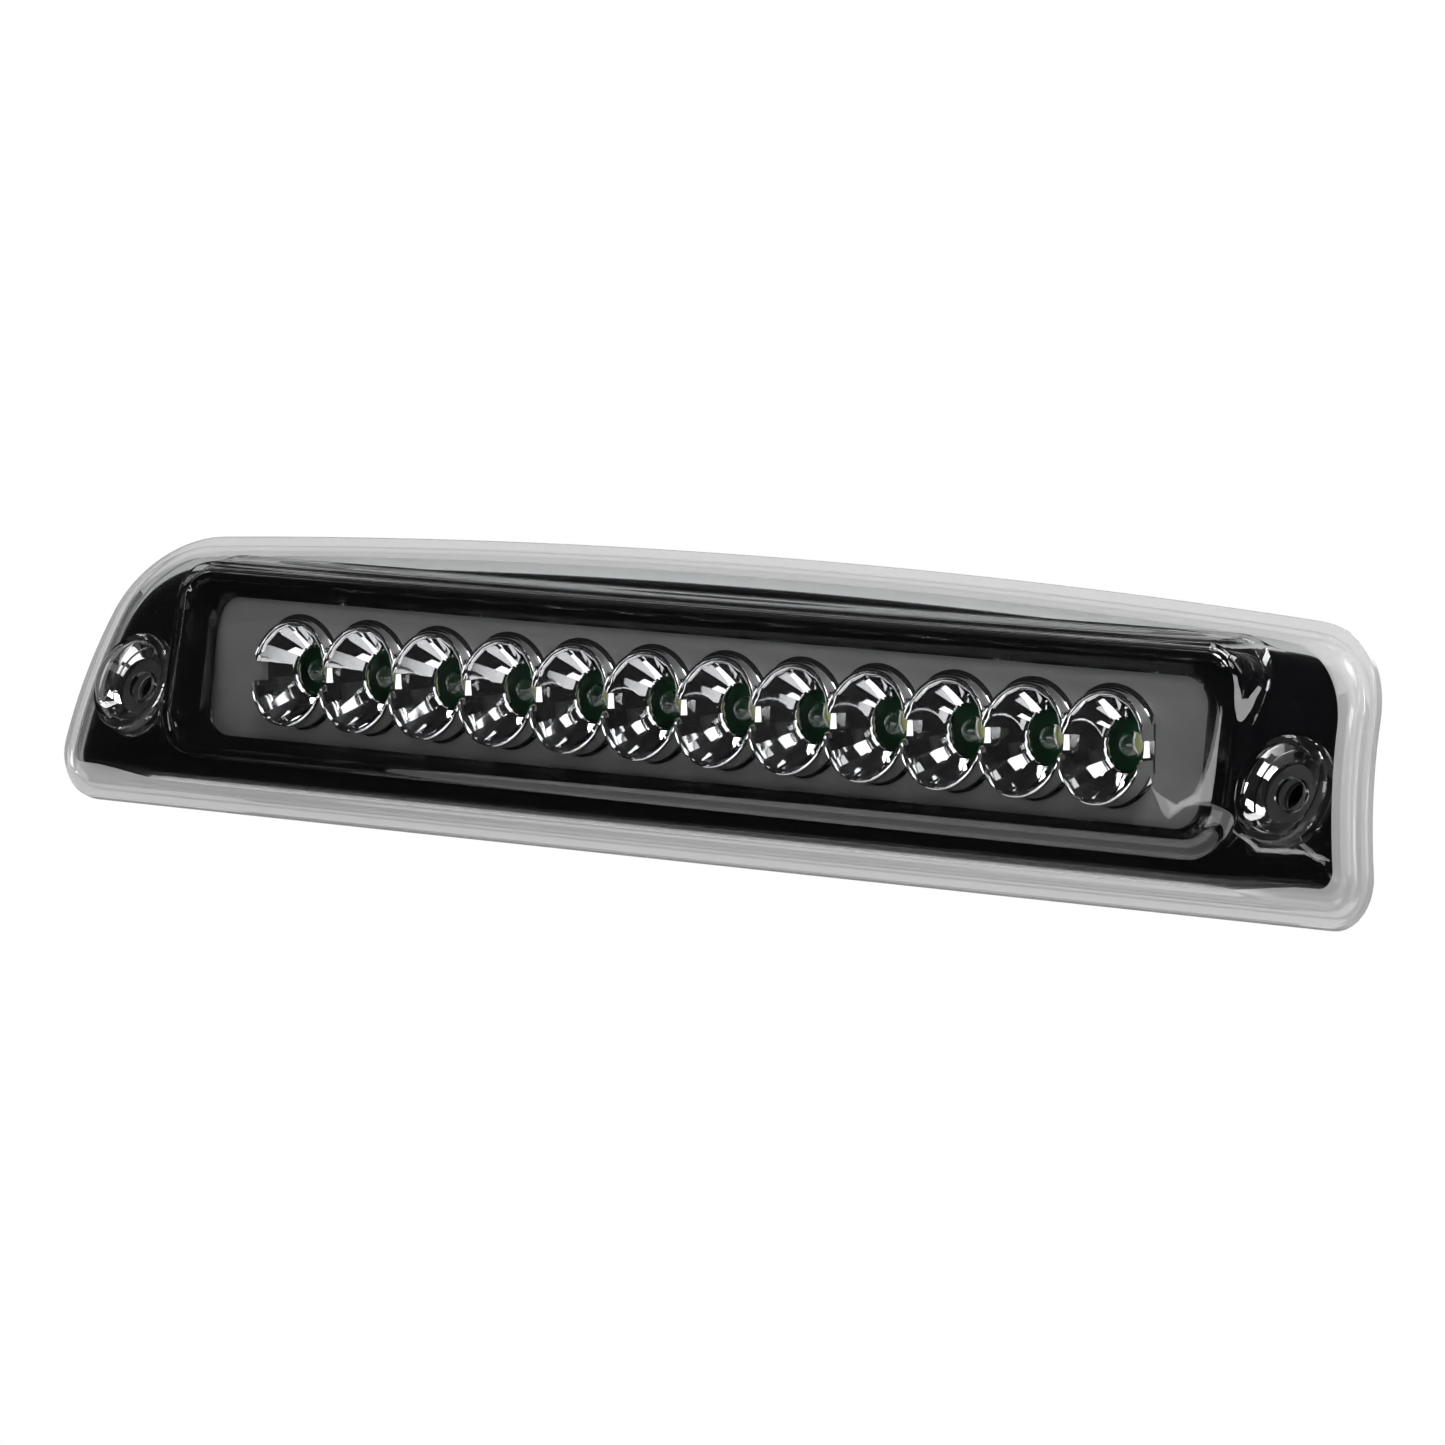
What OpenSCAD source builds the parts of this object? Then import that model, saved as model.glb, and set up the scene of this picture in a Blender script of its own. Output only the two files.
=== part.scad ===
// High-level brake lamp with a row of round reflector cups, one light-emitting diode in each.
// +X runs along the lamp to the right as seen from behind the vehicle, +Y goes into the vehicle,
// +Z is up. The origin lies midway between the two fixing screws, on the plane that the gasket seals on.

/* [Lens] */
// Width of the clear lens over its lower corners
lens_w = 352.8; // [300:0.2:430]
// Height of the clear lens at its middle
lens_h = 63.2; // [60:0.1:80]
// Height of the fixing screws above the lens's lower edge
screw_up = 23.4; // [20:0.1:30]
// Radius of the curve that the lens follows from bottom to top
crown_r = 90; // [70:1:160]
// Radius of the long arch along the top edge
arch_r = 2220; // [1500:5:4000]
// Lean of the two short sides, in degrees
side_lean = 11.5; // [0:0.1:14]
// Radius of the lower corners
low_corner_r = 9; // [6:0.1:12]
// Radius of the upper corners
top_corner_r = 24; // [16:0.5:30]
// Thickness of the border flange
flange_t = 2.5; // [1.5:0.1:3.5]
// Width of the border flange, out to the edge
flange_w = 2.7; // [2:0.1:4]
// Wall of the lens
lens_wall = 2.2; // [1.5:0.1:3]
// Height of the lens face above the border flange
face_step = 3; // [2.4:0.1:5]

/* [Window] */
// Distance from the lens's end to the window's end
window_inset = 42.4; // [40:0.1:60]
// Height of the window
window_h = 28.7; // [27:0.1:34]
// Corner radius of the window
window_r = 6; // [3:0.5:8]
// Width of the raised frame around the window
frame_w = 7.9; // [6:0.1:9]
// Lean of the window against the mounting plane, in degrees
window_lean = 12; // [8:0.5:14]
// Height of the cup row above the fixing screws
row_up = 4.8; // [2:0.1:8]

/* [Reflector cups] */
// Number of cups
cup_count = 12; // [8:1:12]
// Distance from the window's end to the middle of the end cup
cup_end = 24; // [20:0.5:34]
// Outer radius of a cup
cup_r = 11; // [10:0.1:12]
// Wall of a cup at its rim
cup_wall = 1; // [0.6:0.1:1.6]
// Radius of the hole in a cup's floor
cup_hole_r = 5; // [4:0.1:6]
// Height of the slot between two cups
cup_slot_h = 3.7; // [2:0.1:5]
// Depth of a cup from rim to floor
cup_depth = 7.8; // [6:0.1:9]
// Downward aim of the cups against the window, in degrees
cup_aim = 9.5; // [4:0.5:12]
// Distance from the rims back to the grey panel
panel_back = 4.3; // [4:0.1:5]
// Thickness of the grey panel
panel_t = 1.6; // [1.2:0.1:2.4]

/* [Electrics] */
// Radius of a diode's dome
led_r = 2.5; // [1.5:0.1:2.5]
// Length of a diode from its foot to the top of its dome
led_len = 8.6; // [7:0.1:9]
// Distance from the rims back to the circuit board
board_back = 15.5; // [15:0.1:18]
// Thickness of the circuit board
board_t = 1.6; // [0.8:0.1:2]
// Width of the circuit board from edge to edge, across the row
board_h = 22; // [20:0.5:24]
// Tallest component behind the board
tall_part = 7; // [5:0.1:9]

/* [Fixings] */
// Distance from the lens's end to a fixing screw
screw_inset = 20.9; // [20:0.1:28]
// Radius of the fixing holes
hole_r = 3.1; // [2.6:0.1:3.6]
// Wall of the steel sleeve in each fixing hole
sleeve_wall = 1.4; // [1:0.1:2]
// Radius of the screw well's mouth in the lens
well_r = 9.3; // [8.6:0.1:9.6]
// Depth of the screw well
well_depth = 2.5; // [1.5:0.1:3]
// Thickness of the well's floor
well_floor = 3.1; // [2:0.1:3.6]
// Thickness of the gasket when it is clamped
gasket_t = 2.5; // [2:0.1:4]
// Width of the gasket's rim
gasket_w = 4.2; // [3:0.1:4.2]

/* [Housing] */
// Wall of the rear housing
housing_wall = 2; // [1.6:0.1:2.5]
// Wall of the black bezel
bezel_wall = 1.8; // [1.4:0.1:2]
// Width of the sealing bead between lens and housing
bead_w = 1; // [0.6:0.1:1.4]
// Radius of the cable's hole through the grommet
cable_r = 2.5; // [1.5:0.1:3]

/* [Hidden] */
$fn = 96;
gap = 0.3;
edge_gap = 2.2;
long = 80;

// Places of the lens and its curve
low_z = -screw_up;
top_z = low_z + lens_h;
mid_z = (low_z + top_z) / 2;
half_angle = asin(lens_h / 2 / crown_r);
crest_y = -(crown_r * (1 - cos(half_angle)) + flange_t / cos(half_angle) + edge_gap);
crown_y = crest_y + crown_r;
foot_x = lens_w / 2 + low_corner_r * (tan(side_lean) + 1 / cos(side_lean) - 1);

// Radii of the curved layers, from the lens's face inwards
face_r = crown_r + face_step;
bezel_out_r = face_r - lens_wall - gap;
bezel_in_r = bezel_out_r - bezel_wall;
tray_r = crown_r - flange_t + 0.9;
lug_r = tray_r - 2.6;

// Insets of the nested outlines, from the lens's edge inwards
skirt_in = flange_w + lens_wall;
bezel_in = skirt_in + 0.4;
tray_in = skirt_in + bead_w;
gasket_in = tray_in + 0.5;
bucket_in = gasket_in + gasket_w + 0.4;
top_drop = 2.4;

// The window and its raised frame, in the window's own tilted frame
row_y = crest_y - 2.35;
window_w = lens_w - 2 * window_inset;
window_mid = 0.5;
frame_low = 4.2;
frame_top = 4.6;
ridge_y = -1.2;
lip_front = 0.2;
lip_t = 1.2;
lens_clear = 0.8;
frame_under = 1.8;
pad_r = 10;
pad_back = 14;

// The cup row and all that lines up with it
pitch = (window_w - 2 * cup_end) / (cup_count - 1);
row_w = pitch * (cup_count - 1);
cup_x = [for (i = [0 : cup_count - 1]) i * pitch - row_w / 2];
beam_tilt = window_lean + cup_aim;
panel_over = 5.4;
panel_w = window_w + 2 * panel_over;
panel_low = -(window_h / 2 + 2.5);
panel_top = window_h / 2 + 1.8;
strip_t = 1.5;
strip_end = 9.5;
strip_half = cup_r + 1.8;
cup_mouth_t = 1.7;
slot_reach = 1.9;
slot_drop = 0.15;
board_end = 14;
board_w = row_w + 2 * board_end;
board_rear = board_back + board_t;

// Fixings
screw_x = lens_w / 2 - screw_inset;
well_y = crown_y - sqrt(face_r * face_r - mid_z * mid_z);
well_back = well_y + well_depth + well_floor;
sleeve_r = hole_r + sleeve_wall;
boss_r = sleeve_r + housing_wall;
seat_y = -gasket_t;
tray_floor = seat_y - housing_wall;

// The bucket that holds the board
bucket_half = panel_w / 2 + 2 * gap + housing_wall;
board_low_y = row_y + board_rear * cos(beam_tilt) + board_h / 2 * sin(beam_tilt);
bucket_back = board_low_y + tall_part + housing_wall;
bucket_low = bucket_in + low_z;
bucket_low_r = 4;
bucket_top_r = 12;
tray_wall = 2.2;
seal_t = 0.8;
grommet_x = 62;
grommet_z = 8;
grommet_r = 6;
grommet_lip = 2;
vent_x = -70;
vent_r = 6.5;
vent_neck = 3;
film_r = 4.5;
film_t = 0.3;

// Screws: radii of shank, core hole and head, with the head's thickness
small_r = 0.9;
small_head_r = 1.7;
small_head_t = 1.1;
big_r = 1.25;
big_head_t = 1.6;
bezel_head_r = 2.2;
board_head_r = 2.4;
bezel_boss_r = 2.4;
bezel_hole_r = 1.5;
board_boss_r = 3;

// Places of the screws as [x, z]
bezel_screws = [for (s = [-1, 1], p = [[10, -10.3], [8.5, 17]]) [s * (screw_x - p[0]), p[1]]];
panel_screws = [for (s = [-1, 1], z = [-9.5, 9.5]) [s * (window_w / 2 + 3.4), z]];
strip_screws = concat([for (s = [-1, 1]) [s * (row_w / 2 + cup_r + 5.8), 0]],
    [for (s = [-1, 1]) [0, s * (cup_r - 0.4)]]);
board_screws_at = concat([for (s = [-1, 1], z = [-7.5, 7.5]) [s * (row_w / 2 + 9), z]],
    [for (z = [-8, 8]) [0, z]]);

// Components on the back of the board: [x, z] of each one
resistor_at = [for (x = [-90, -30, 30, 90]) [x * row_w / 220, 5.2]];
diode_at = [-60 * row_w / 220, 5.2];
capacitor_at = [-45 * row_w / 220, -3];
header_at = [45 * row_w / 220, 5];
resistor_len = 6.3;
resistor_r = 1.2;
resistor_spread = resistor_len / 2 + 1.6;
diode_len = 5.2;
diode_r = 1.35;
diode_spread = 4.4;
capacitor_r = 2.5;
capacitor_spread = 1.25;
leg_spread = 1.27;
stand_off = 0.3;
lead_r = 0.3;
lead_out = 1.6;
lead_in = 0.4;
joint_t = 0.9;

function two(i) = i < 10 ? str("0", i) : str(i);
LEDS = [for (i = [1 : cup_count]) str("led_", two(i))];

// ---- outlines ----

// Half width of the lens at height z, drawn in by inset d
function side_x(z, d) = foot_x - (z - low_z) * tan(side_lean) - d / cos(side_lean);
// Height of the arched top edge at x, drawn in by inset d
function arch_z(x, d) = top_z - d - x * x / 2 / arch_r;

// Points of an arc of radius r that rounds corner b between neighbours a and c
function corner(a, b, c, r, steps) =
    let (u = (a - b) / norm(a - b), v = (c - b) / norm(c - b), half = acos(u * v) / 2,
         middle = b + (u + v) / norm(u + v) * r / sin(half),
         from = b + u * r / tan(half) - middle, to = b + v * r / tan(half) - middle,
         start = atan2(from[1], from[0]), raw = atan2(to[1], to[0]) - start,
         sweep = raw > 180 ? raw - 360 : raw < -180 ? raw + 360 : raw)
    [for (k = [0 : steps]) middle + r * [cos(start + sweep * k / steps), sin(start + sweep * k / steps)]];

// The lens outline, drawn in by inset d, with its top edge lowered by a further drop
function outline(d, drop = 0) =
    let (lo = [side_x(low_z + d, d), low_z + d], guess = arch_z(side_x(top_z, d), d + drop),
         hi = [side_x(guess, d), arch_z(side_x(guess, d), d + drop)],
         turn = max(top_corner_r - d, 2), crest_end = hi[0] - turn,
         next = [crest_end, arch_z(crest_end, d + drop)],
         right = concat(corner([0, lo[1]], lo, hi, max(low_corner_r - d, 1.5), 8),
             corner(lo, hi, next, turn, 12)),
         arch = [for (k = [5 : -1 : -5]) let (x = crest_end * k / 6) [x, arch_z(x, d + drop)]],
         left = [for (k = [len(right) - 1 : -1 : 0]) [-right[k][0], right[k][1]]])
    concat(right, arch, left);

// A rectangle with round corners, w wide, from z = lo to z = hi
function round_box(w, lo, hi, r) =
    let (c = [[w / 2, lo], [w / 2, hi], [-w / 2, hi], [-w / 2, lo]])
    [for (i = [0 : 3]) each corner(c[(i + 3) % 4], c[i], c[(i + 1) % 4], r, 8)];

// The bucket's outline: straight ends, flat floor and the lens's own arch on top
function bucket_outline(d) =
    let (x = bucket_half - d, c = [[x, bucket_low + d], [x, arch_z(x, bucket_in + d) - 0.4]],
         right = concat(corner([0, c[0][1]], c[0], c[1], bucket_low_r, 6),
             corner(c[0], c[1], [0, arch_z(x, bucket_in + d)], bucket_top_r, 10)),
         arch = [for (k = [5 : -1 : -5]) let (t = (x - bucket_top_r - 2) * k / 6)
             [t, arch_z(t, bucket_in + d)]],
         left = [for (k = [len(right) - 1 : -1 : 0]) [-right[k][0], right[k][1]]])
    concat(right, arch, left);

// ---- frames and building blocks ----

// Tilted frame of the window: its middle plane holds the cups' rims
module window_frame() {
    translate([0, row_y, row_up]) rotate([window_lean, 0, 0]) children();
}

// Frame of the beam: the cups, diodes and board are square to it
module beam_frame() {
    translate([0, row_y, row_up]) rotate([beam_tilt, 0, 0]) children();
}

// Flat outline in X and Z, from y0 back to y1
module slab(points, y0, y1) {
    translate([0, y1, 0]) rotate([90, 0, 0]) linear_extrude(height = y1 - y0) polygon(points);
}

// The lens's curve as a solid roller about X
module roller(r) {
    translate([0, crown_y, mid_z]) rotate([0, 90, 0])
        cylinder(r = r, h = lens_w + 40, center = true, $fn = 200);
}

// Curved layer between radii r1 and r0, inside the outline drawn in by d and lowered by a drop
module layer(d, r1, r0, drop = 0) {
    difference() {
        intersection() {
            slab(outline(d, drop), -40, crown_y - 40);
            roller(r1);
        }
        roller(r0);
    }
}

// Straight rod along Y from y0 to y1 at x, z
module rod(x, z, r, y0, y1) {
    translate([x, y0, z]) rotate([-90, 0, 0]) cylinder(r = r, h = y1 - y0, $fn = 48);
}

// Cone along Y from radius r0 at y0 to radius r1 at y1
module taper_rod(x, z, r0, r1, y0, y1) {
    translate([x, y0, z]) rotate([-90, 0, 0]) cylinder(r1 = r0, r2 = r1, h = y1 - y0, $fn = 64);
}

// The same at both fixing screws
module at_screws() {
    for (s = [-1, 1]) translate([s * screw_x, 0, 0]) children();
}

// Screw along Y with its head behind: shank from y0 to y1, pan head after y1
module pan_screw(x, z, shank_r, head_r, head_t, y0, y1) {
    difference() {
        union() {
            rod(x, z, shank_r, y0, y1);
            rod(x, z, head_r, y1, y1 + head_t);
        }
        for (a = [0, 90]) translate([x, y1 + head_t, z]) rotate([0, a, 0])
            cube([head_r * 1.2, head_t, head_r * 0.28], center = true);
    }
}

// Window-frame block around the window, grown by g at the ends, up by t and down by b
module window_block(g, b, t, r, y0, y1) {
    lo = window_mid - window_h / 2 - b;
    hi = window_mid + window_h / 2 + t;
    window_frame() slab(round_box(window_w + 2 * g, lo, hi, r), y0, y1);
}

// Everything behind the front of the grey panel
module behind_panel() {
    beam_frame() translate([-lens_w / 2, panel_back, -long / 2]) cube([lens_w, long, long]);
}

// ---- lens ----

module outer_lens() {
    pad = frame_w + 2 + lens_clear;
    color([0.93, 0.94, 0.95, 0.5])
    difference() {
        union() {
            layer(0, crown_r, crown_r - flange_t);
            layer(flange_w, face_r, lug_r);
            difference() {
                window_block(pad + lens_wall, frame_low + lens_wall + 0.2, frame_top + lens_wall + 0.4,
                    pad_r, ridge_y - lens_clear - lens_wall, pad_back);
                roller(face_r - 0.5);
            }
            at_screws() rod(0, 0, well_r + 1.3, well_y + 0.3, well_back);
        }
        difference() {
            layer(skirt_in, face_r - lens_wall, lug_r - 4);
            at_screws() rod(0, 0, well_r + 1.3, -30, well_back);
        }
        window_block(pad, frame_low + 0.2, frame_top + 0.4, pad_r - 2, ridge_y - lens_clear, pad_back);
        at_screws() {
            taper_rod(0, 0, well_r + 0.8, well_r - 3.4, well_y - 0.6, well_y + well_depth);
            rod(0, 0, hole_r, -30, 10);
        }
    }
}

// ---- bezel ----

module bezel() {
    color([0.03, 0.03, 0.035])
    difference() {
        union() {
            difference() {
                layer(bezel_in, bezel_out_r, bezel_in_r, top_drop);
                frame_inside(-20, 30);
            }
            difference() {
                window_block(frame_w + frame_under, frame_low, frame_top, pad_r - 2, ridge_y, pad_back);
                roller(bezel_in_r);
                frame_inside(ridge_y - 1, lip_front);
                frame_inside(lip_front + lip_t, 30);
            }
            difference() {
                window_frame() for (p = panel_screws) rod(p[0], p[1], 2, lip_front + 0.2, 12);
                behind_panel();
            }
            for (p = bezel_screws) bezel_boss(p);
        }
        window_block(0, 0, 0, window_r, -20, 30);
        at_screws() rod(0, 0, well_r + 1.7, -40, 20);
        for (p = bezel_screws) rod(p[0], p[1], big_r, tray_floor - 4, tray_floor + 1);
        window_frame() for (p = panel_screws) rod(p[0], p[1], small_r, 0.9, 14);
    }
}

// Space inside the raised frame's walls, from y0 back to y1
module frame_inside(y0, y1) {
    window_block(frame_w, frame_low - frame_under, frame_top - frame_under, pad_r - 4, y0, y1);
}

// Boss that stands on the housing's floor, and its root in the bezel's curved plate
module bezel_boss(p) {
    difference() {
        rod(p[0], p[1], bezel_boss_r, crest_y - 1, tray_floor);
        difference() {
            translate([-lens_w, -40, -long]) cube([2 * lens_w, 60, 2 * long]);
            roller(bezel_out_r - 0.6);
        }
    }
}

// ---- reflector ----

module reflector_panel() {
    color([0.33, 0.33, 0.33])
    difference() {
        beam_frame() difference() {
            slab(round_box(panel_w, panel_low, panel_top, 4), panel_back, panel_back + panel_t);
            intersection() {
                for (x = cup_x) rod(x, 0, cup_r + 0.25, 0, 12);
                translate([0, 6, 0]) cube([row_w + 2 * cup_r - 1.5, 30, 30], center = true);
            }
            for (p = strip_screws) rod(p[0], p[1], small_r, panel_back + 0.4, 12);
        }
        window_frame() for (p = panel_screws) rod(p[0], p[1], small_r + 0.2, 0, 14);
    }
}

module reflector_cups() {
    floor_y = cup_depth;
    color([0.88, 0.88, 0.9])
    difference() {
        beam_frame() difference() {
            union() {
                intersection() {
                    for (x = cup_x) rod(x, 0, cup_r, -4, floor_y + 0.9);
                    translate([0, 3, 0]) cube([row_w + 2 * cup_r - 2, 30, 30], center = true);
                }
                slab(round_box(row_w + 2 * (cup_r + strip_end), -strip_half, strip_half, 3),
                    panel_back + panel_t, panel_back + panel_t + strip_t);
            }
            for (x = cup_x) translate([x, 0, 0]) bowl(floor_y);
            for (i = [0 : cup_count]) translate([(i - 0.5) * pitch - row_w / 2, 0, 0]) cup_slot();
            for (p = strip_screws) rod(p[0], p[1], small_r + 0.1, 0, 12);
        }
        window_frame() translate([-lens_w / 2, -20, -long / 2]) cube([lens_w, 20, long]);
    }
}

// Hollow of one cup: a straight mouth, a cone and the diode's hole, cut flat beside its neighbours
module bowl(floor_y) {
    mouth = cup_r - cup_wall;
    intersection() {
        union() {
            rod(0, 0, mouth, -6, cup_mouth_t);
            taper_rod(0, 0, mouth, cup_hole_r, cup_mouth_t, floor_y);
            rod(0, 0, cup_hole_r, floor_y - 0.1, 20);
        }
        translate([0, 5, 0]) cube([pitch - 0.8, 40, 40], center = true);
    }
}

// Slot through the walls where two cups meet, from the rims back to the panel
module cup_slot() {
    translate([-slot_reach, -6, -slot_drop - cup_slot_h / 2])
        cube([2 * slot_reach, panel_back + 6, cup_slot_h]);
}

// ---- diodes and board ----

module led(i) {
    tip = board_back - led_len;
    color([0.86, 0.9, 0.72])
    beam_frame() translate([cup_x[i], tip + led_r, 0]) rotate([-90, 0, 0]) rotate_extrude($fn = 64)
        polygon(concat([for (a = [0 : 9 : 90]) [led_r * sin(a), -led_r * cos(a)]],
            [[led_r, led_len - led_r - 1], [led_r + 0.4, led_len - led_r - 1],
             [led_r + 0.4, led_len - led_r], [0, led_len - led_r]]));
}

module led_leads() {
    color([0.75, 0.76, 0.78])
    beam_frame() for (x = cup_x, s = [-1, 1])
        rod(x + s * leg_spread, 0, lead_r, board_back, board_rear + lead_out);
}

// Places of every lead that comes through the board
function pair(p, spread) = [for (s = [-1, 1]) [p[0] + s * spread, p[1]]];
lead_points = concat([for (x = cup_x) each pair([x, 0], leg_spread)],
    [for (p = resistor_at) each pair(p, resistor_spread)], pair(diode_at, diode_spread),
    pair(capacitor_at, capacitor_spread), pair(header_at, leg_spread));

module solder_joints() {
    color([0.8, 0.81, 0.83])
    beam_frame() difference() {
        for (x = cup_x, s = [-1, 1])
            taper_rod(x + s * leg_spread, 0, 0.95, 0.45, board_rear, board_rear + joint_t);
        for (x = cup_x, s = [-1, 1]) rod(x + s * leg_spread, 0, lead_r, 0, 40);
    }
}

module circuit_board() {
    color([0.07, 0.3, 0.14])
    beam_frame() difference() {
        slab(round_box(board_w, -board_h / 2, board_h / 2, 2), board_back, board_rear);
        for (p = lead_points) rod(p[0], p[1], lead_r, 0, 40);
        for (p = board_screws_at) rod(p[0], p[1], 1.6, 0, 40);
    }
}

// Component body along X, held off the board by its radius
module lying_body(p, r, len) {
    beam_frame() translate([p[0], board_rear + r + stand_off, p[1]]) rotate([0, 90, 0])
        cylinder(r = r, h = len, center = true, $fn = 48);
}

// Two leads bent down to the board from a lying body
module bent_leads(p, r, len, spread) {
    beam_frame() for (s = [-1, 1]) {
        rod(p[0] + s * spread, p[1], lead_r, board_back - lead_in, board_rear + r + stand_off + lead_r);
        translate([p[0] + s * (len / 2 + spread) / 2, board_rear + r + stand_off, p[1]]) rotate([0, 90, 0])
            cylinder(r = lead_r - 0.03, h = spread - len / 2, center = true, $fn = 24);
    }
}

module resistors() {
    color([0.55, 0.7, 0.78]) for (p = resistor_at) lying_body(p, resistor_r, resistor_len);
}

module resistor_leads() {
    color([0.75, 0.76, 0.78]) for (p = resistor_at)
        bent_leads(p, resistor_r, resistor_len, resistor_spread);
}

module blocking_diode() {
    color([0.08, 0.08, 0.08]) lying_body(diode_at, diode_r, diode_len);
}

module diode_leads() {
    color([0.75, 0.76, 0.78]) bent_leads(diode_at, diode_r, diode_len, diode_spread);
}

module smoothing_capacitor() {
    p = capacitor_at;
    color([0.12, 0.13, 0.2])
    beam_frame() rod(p[0], p[1], capacitor_r, board_rear + 0.2, board_rear + tall_part - 2);
}

module capacitor_leads() {
    color([0.75, 0.76, 0.78])
    beam_frame() for (q = pair(capacitor_at, capacitor_spread))
        rod(q[0], q[1], lead_r, board_back - lead_in, board_rear + 0.2);
}

module wire_header() {
    color([0.9, 0.89, 0.84])
    beam_frame() difference() {
        translate([header_at[0] - 4, board_rear, header_at[1] - 2.9]) cube([8, 5.5, 5.8]);
        translate([header_at[0] - 3.2, board_rear + 1.4, header_at[1] - 2.1]) cube([6.4, 9, 4.2]);
        for (q = pair(header_at, leg_spread)) rod(q[0], q[1], lead_r, 0, 40);
    }
}

module header_pins() {
    color([0.85, 0.72, 0.35])
    beam_frame() for (q = pair(header_at, leg_spread))
        rod(q[0], q[1], lead_r, board_back - lead_in, board_rear + 4.6);
}

// ---- housing ----

module rear_housing() {
    color([0.06, 0.06, 0.065])
    difference() {
        union() {
            difference() {
                intersection() {
                    slab(outline(tray_in, top_drop), -40, seat_y);
                    roller(tray_r);
                }
                slab(outline(tray_in + tray_wall, top_drop), -50, tray_floor);
            }
            slab(bucket_outline(0), tray_floor, bucket_back);
            at_screws() rod(0, 0, boss_r, well_back + seal_t, 0);
        }
        difference() {
            slab(bucket_outline(housing_wall), -40, bucket_back - housing_wall);
            beam_frame() for (p = board_screws_at) rod(p[0], p[1], board_boss_r, board_rear, long);
        }
        beam_frame() for (p = board_screws_at) rod(p[0], p[1], big_r, 0, board_rear + 5);
        at_screws() {
            rod(0, 0, sleeve_r, -40, 10);
            rod(0, 0, well_r + 1.3 + gap, -40, well_back + 0.1);
        }
        for (p = bezel_screws) rod(p[0], p[1], bezel_hole_r, -40, 10);
        rod(grommet_x, grommet_z, grommet_r, bucket_back - 6, bucket_back + 6);
        rod(vent_x, grommet_z, vent_neck, bucket_back - 6, bucket_back + 6);
    }
}

module sealing_bead() {
    color([0.12, 0.12, 0.13])
    difference() {
        layer(skirt_in, tray_r, lug_r);
        slab(outline(tray_in, top_drop), -50, 20);
    }
}

module foam_gasket() {
    color([0.16, 0.16, 0.17])
    difference() {
        union() {
            difference() {
                slab(outline(gasket_in, top_drop), seat_y, 0);
                slab(outline(gasket_in + gasket_w), seat_y - 5, 5);
            }
            intersection() {
                union() {
                    at_screws() rod(0, 0, boss_r + 2.6, seat_y, 0);
                    for (s = [-1, 1]) translate([s * (screw_x + 7), seat_y / 2, 0])
                        cube([14, gasket_t, 9], center = true);
                }
                slab(outline(gasket_in, top_drop), seat_y, 0);
            }
        }
        at_screws() rod(0, 0, boss_r, seat_y - 5, 5);
    }
}

module sleeve(s) {
    color([0.72, 0.72, 0.74])
    difference() {
        rod(s * screw_x, 0, sleeve_r, well_back + seal_t, 0);
        rod(s * screw_x, 0, hole_r, -40, 10);
    }
}

module well_seals() {
    color([0.1, 0.1, 0.1])
    at_screws() difference() {
        rod(0, 0, boss_r, well_back, well_back + seal_t);
        rod(0, 0, hole_r + 0.4, -40, 10);
    }
}

// ---- small screws, cable entry and vent ----

module bezel_screw_set() {
    color([0.6, 0.6, 0.62])
    for (p = bezel_screws)
        pan_screw(p[0], p[1], big_r, bezel_head_r, big_head_t, tray_floor - 1.4, seat_y);
}

module panel_screw_set() {
    color([0.6, 0.6, 0.62])
    window_frame() for (p = panel_screws) {
        y = (panel_back + panel_t) / cos(cup_aim) - p[1] * tan(cup_aim) + 0.45;
        pan_screw(p[0], p[1], small_r, small_head_r, small_head_t, lip_front + lip_t, y);
    }
}

module reflector_screw_set() {
    y = panel_back + panel_t + strip_t;
    color([0.6, 0.6, 0.62])
    beam_frame() for (p = strip_screws)
        pan_screw(p[0], p[1], small_r, small_head_r, small_head_t, y - 2.4, y);
}

module board_screw_set() {
    color([0.7, 0.68, 0.6])
    beam_frame() for (p = board_screws_at) mirror([0, 1, 0])
        pan_screw(p[0], p[1], big_r, board_head_r, big_head_t, -board_rear - 4.5, -board_back);
}

module wire_grommet() {
    outside = bucket_back;
    inside = bucket_back - housing_wall;
    color([0.09, 0.09, 0.09])
    difference() {
        union() {
            rod(grommet_x, grommet_z, grommet_r, inside, outside);
            rod(grommet_x, grommet_z, grommet_r + grommet_lip, outside, outside + 2);
            rod(grommet_x, grommet_z, grommet_r + grommet_lip - 0.4, inside - 1.6, inside);
            taper_rod(grommet_x, grommet_z, grommet_r, grommet_r - 1.4, outside + 2, outside + 7);
        }
        rod(grommet_x, grommet_z, cable_r, inside - 5, outside + 20);
    }
}

module vent_cap() {
    color([0.14, 0.14, 0.15])
    difference() {
        union() {
            rod(vent_x, grommet_z, vent_r, bucket_back, bucket_back + 2.6);
            rod(vent_x, grommet_z, vent_neck, bucket_back - housing_wall, bucket_back);
        }
        rod(vent_x, grommet_z, vent_neck - 1.4, bucket_back - 10, bucket_back + 2 * film_t);
        rod(vent_x, grommet_z, film_r, bucket_back + 2 * film_t, bucket_back + 4 * film_t);
        for (a = [0 : 60 : 300]) translate([vent_x, bucket_back + 3 * film_t, grommet_z]) rotate([0, a, 0])
            translate([4, -0.3, -0.6]) cube([4, 0.6, 1.2]);
    }
}

module vent_membrane() {
    color([0.92, 0.92, 0.9])
    rod(vent_x, grommet_z, film_r, bucket_back + 2 * film_t, bucket_back + 3 * film_t);
}

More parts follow.
